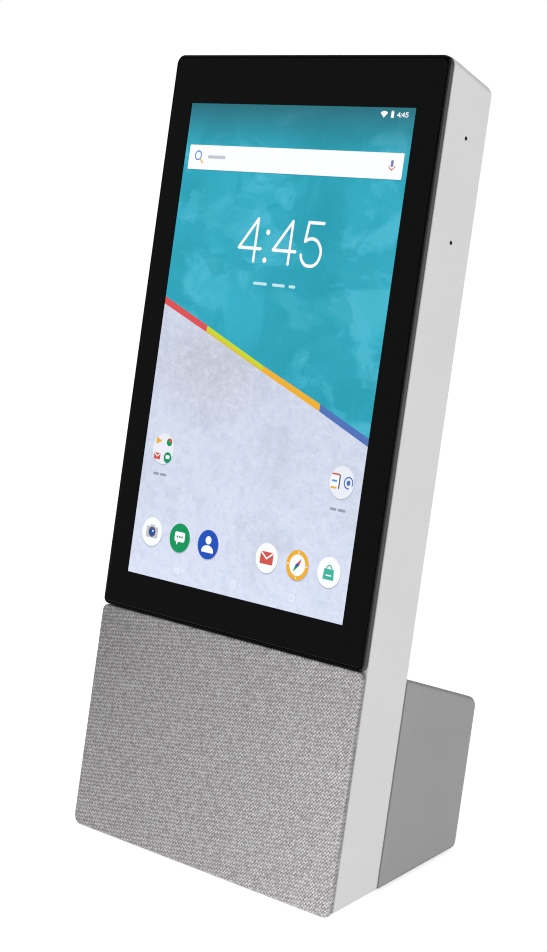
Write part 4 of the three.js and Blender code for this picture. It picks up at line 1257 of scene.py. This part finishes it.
# ------------------------------------------------------------------ finishes of the carried-over CAD nodes
C = dict(
    panel=moulded("lcd_cell", (0.02, 0.022, 0.026), 0.22, 5, 0.004, 0.1, cad=True),
    film=soft("diffuser_film", (0.80, 0.80, 0.77), 0.45, 0.5, 0.01, vary=0.05),
    tray=metal("backlight_tray_steel", (0.62, 0.63, 0.64), 0.34, (0.3, 3, 3)),
    cast=metal("cast_alloy", (0.46, 0.47, 0.48), 0.52, (1, 1, 1), metallic=0.85),
    flex=film("amber_flex", (0.50, 0.20, 0.04)),
    antenna=film("antenna_flex", (0.42, 0.17, 0.05), (1, 0, 0), 1.0),
    screw=metal("small_screw_steel", (0.58, 0.59, 0.60), 0.3, (1, 1, 6)),
    battery=soft("battery_foil", (0.36, 0.38, 0.41), 0.36, 0.35, 0.12, vary=0.10),
    pcb=board("circuit_board"),
    can=metal("shield_can_tin", (0.70, 0.70, 0.69), 0.3, (4, 1, 0.4)),
    spreader=metal("graphite_spreader", (0.09, 0.09, 0.10), 0.45, (1, 1, 4), metallic=0.5),
    switch=metal("switch_can", (0.55, 0.55, 0.55), 0.35, (3, 1, 1)),
    dark=moulded("inner_dark_plastic", (0.028, 0.028, 0.030), 0.56, 2.5, 0.03, 0.1, cad=True),
    foam=soft("gasket_foam", (0.030, 0.030, 0.032), 0.95, 2.2, 0.15),
    basket=metal("speaker_basket_steel", (0.34, 0.34, 0.35), 0.4, (1, 1, 1)),
    surround=soft("surround_rubber", (0.022, 0.022, 0.023), 0.6, 0.8, 0.03),
    cone=soft("cone_paper", (0.045, 0.045, 0.048), 0.8, 0.9, 0.06, vary=0.2),
    magnet=metal("magnet_plate", (0.50, 0.50, 0.52), 0.36, (1, 1, 3)),
    wire=soft("wire_insulation_red", (0.34, 0.035, 0.025), 0.42, 0.7, 0.02, vary=0.08),
    harness=soft("harness_sleeve", (0.028, 0.028, 0.03), 0.5, 0.7, 0.03),
)
KIND = [("lcd_panel", "panel"), ("backlight_unit", "film"), ("backlight_tray", "tray"), ("midframe_screw", "screw"), ("midframe", "cast"),
        ("display_flex", "flex"), ("battery_pack", "battery"), ("shield_can", "can"), ("heat_spreader", "spreader"), ("mic_board", "pcb"),
        ("antenna", "antenna"), ("button_board", "pcb"), ("main_board", "pcb"), ("port_board", "pcb"), ("power_switch", "switch"),
        ("volume_up_switch", "switch"), ("volume_down_switch", "switch"), ("mute_switch", "switch"), ("grille_carrier", "dark"),
        ("baffle_gasket", "foam"), ("baffle_screw", "screw"), ("speaker_baffle", "dark"), ("speaker_enclosure", "dark"),
        ("speaker_lead", "wire"), ("power_harness", "harness")]
for name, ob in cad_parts.items():
    kind = next((k for p, k in KIND if name.startswith(p)), None)
    if kind is None:
        for tail, k in (("_frame", "basket"), ("_surround", "surround"), ("_cone", "cone"), ("_magnet", "magnet")):
            if name.startswith("speaker_") and name.endswith(tail):
                kind = k
    if kind is None:
        kind = "dark"
    ob.data.materials.clear()
    ob.data.materials.append(C[kind])

# ------------------------------------------------------------------ floor, light, camera
def floor_material():
    m = Mat("studio_floor", True)
    t = m.map(m.noise(0.004, 4, 0.55), 0.3, 0.7, 0.992, 1.0)
    d = m.principled(Base_Color=m.tone((0.90, 0.90, 0.90), t), Roughness=m.map(m.noise(0.02, 3), 0.3, 0.7, 0.82, 0.9), Specular_IOR_Level=0.1,
                     Emission_Color=(1, 1, 1, 1), Emission_Strength=FLOOR_GLOW)
    return m.finish(d)


FLOOR_GLOW = 0.62
# a hair below the feet, so the two never share a plane
fv = [(-9, -9, -0.0001), (9, -9, -0.0001), (9, 9, -0.0001), (-9, 9, -0.0001)]
fm = bpy.data.meshes.new("studio_floor")
fm.from_pydata(fv, [], [(0, 1, 2, 3)])
fm.materials.append(floor_material())
floor = bpy.data.objects.new("studio_floor", fm)
scene.collection.objects.link(floor)

world = bpy.data.worlds.new("studio")
scene.world = world
world.use_nodes = True
wt = world.node_tree
wt.nodes.clear()
wo = wt.nodes.new("ShaderNodeOutputWorld")
bg = [wt.nodes.new("ShaderNodeBackground") for _ in range(3)]
for b_, col, st in zip(bg, ((1, 1, 1, 1), (1, 1, 1, 1), (1, 1, 1, 1)), (0.46, 1.02, 0.10)):
    b_.inputs[0].default_value = col
    b_.inputs[1].default_value = st
lp = wt.nodes.new("ShaderNodeLightPath")
m1, m2 = wt.nodes.new("ShaderNodeMixShader"), wt.nodes.new("ShaderNodeMixShader")
wt.links.new(lp.outputs["Is Glossy Ray"], m1.inputs[0])
wt.links.new(bg[0].outputs[0], m1.inputs[1])
wt.links.new(bg[2].outputs[0], m1.inputs[2])
wt.links.new(lp.outputs["Is Camera Ray"], m2.inputs[0])
wt.links.new(m1.outputs[0], m2.inputs[1])
wt.links.new(bg[1].outputs[0], m2.inputs[2])
wt.links.new(m2.outputs[0], wo.inputs[0])


def softbox(name, place_at, aim, size, power):
    l = bpy.data.lights.new(name, "AREA")
    l.shape, l.size, l.size_y, l.energy = "RECTANGLE", size[0], size[1], power
    o = bpy.data.objects.new(name, l)
    scene.collection.objects.link(o)
    o.location = place_at
    o.rotation_mode = "QUATERNION"
    o.rotation_quaternion = (Vector(aim) - Vector(place_at)).to_track_quat("-Z", "Y")
    return o


softbox("key_right", (0.62, -0.55, 0.42), (0.03, -0.02, 0.05), (0.35, 0.45), 1.1)
softbox("top_fill", (0.0, 0.1, 1.4), (0.0, 0.0, 0.1), (1.6, 1.6), 3.0)

cam_data = bpy.data.cameras.new("camera")
cam_data.sensor_width, cam_data.lens = 36.0, 79.8357
cam_data.clip_start, cam_data.clip_end = 0.01, 50
cam = bpy.data.objects.new("camera", cam_data)
scene.collection.objects.link(cam)
R3 = ((0.7108137349, -0.1367815711, 0.6899526332), (0.6992495594, 0.2435662997, -0.6721052830), (-0.0761175933, 0.9601907412, 0.2687747245))
cm = Matrix(R3).to_4x4()
cm.translation = (0.4499, -0.390241 + OY, 0.288326 + OZ)
cam.matrix_world = cm
scene.camera = cam
scene.view_settings.view_transform = "Standard"
scene.view_settings.look = "None"
scene.cycles.filter_width = 1.1
scene.cycles.denoising_prefilter = "FAST"

bpy.context.view_layer.update()
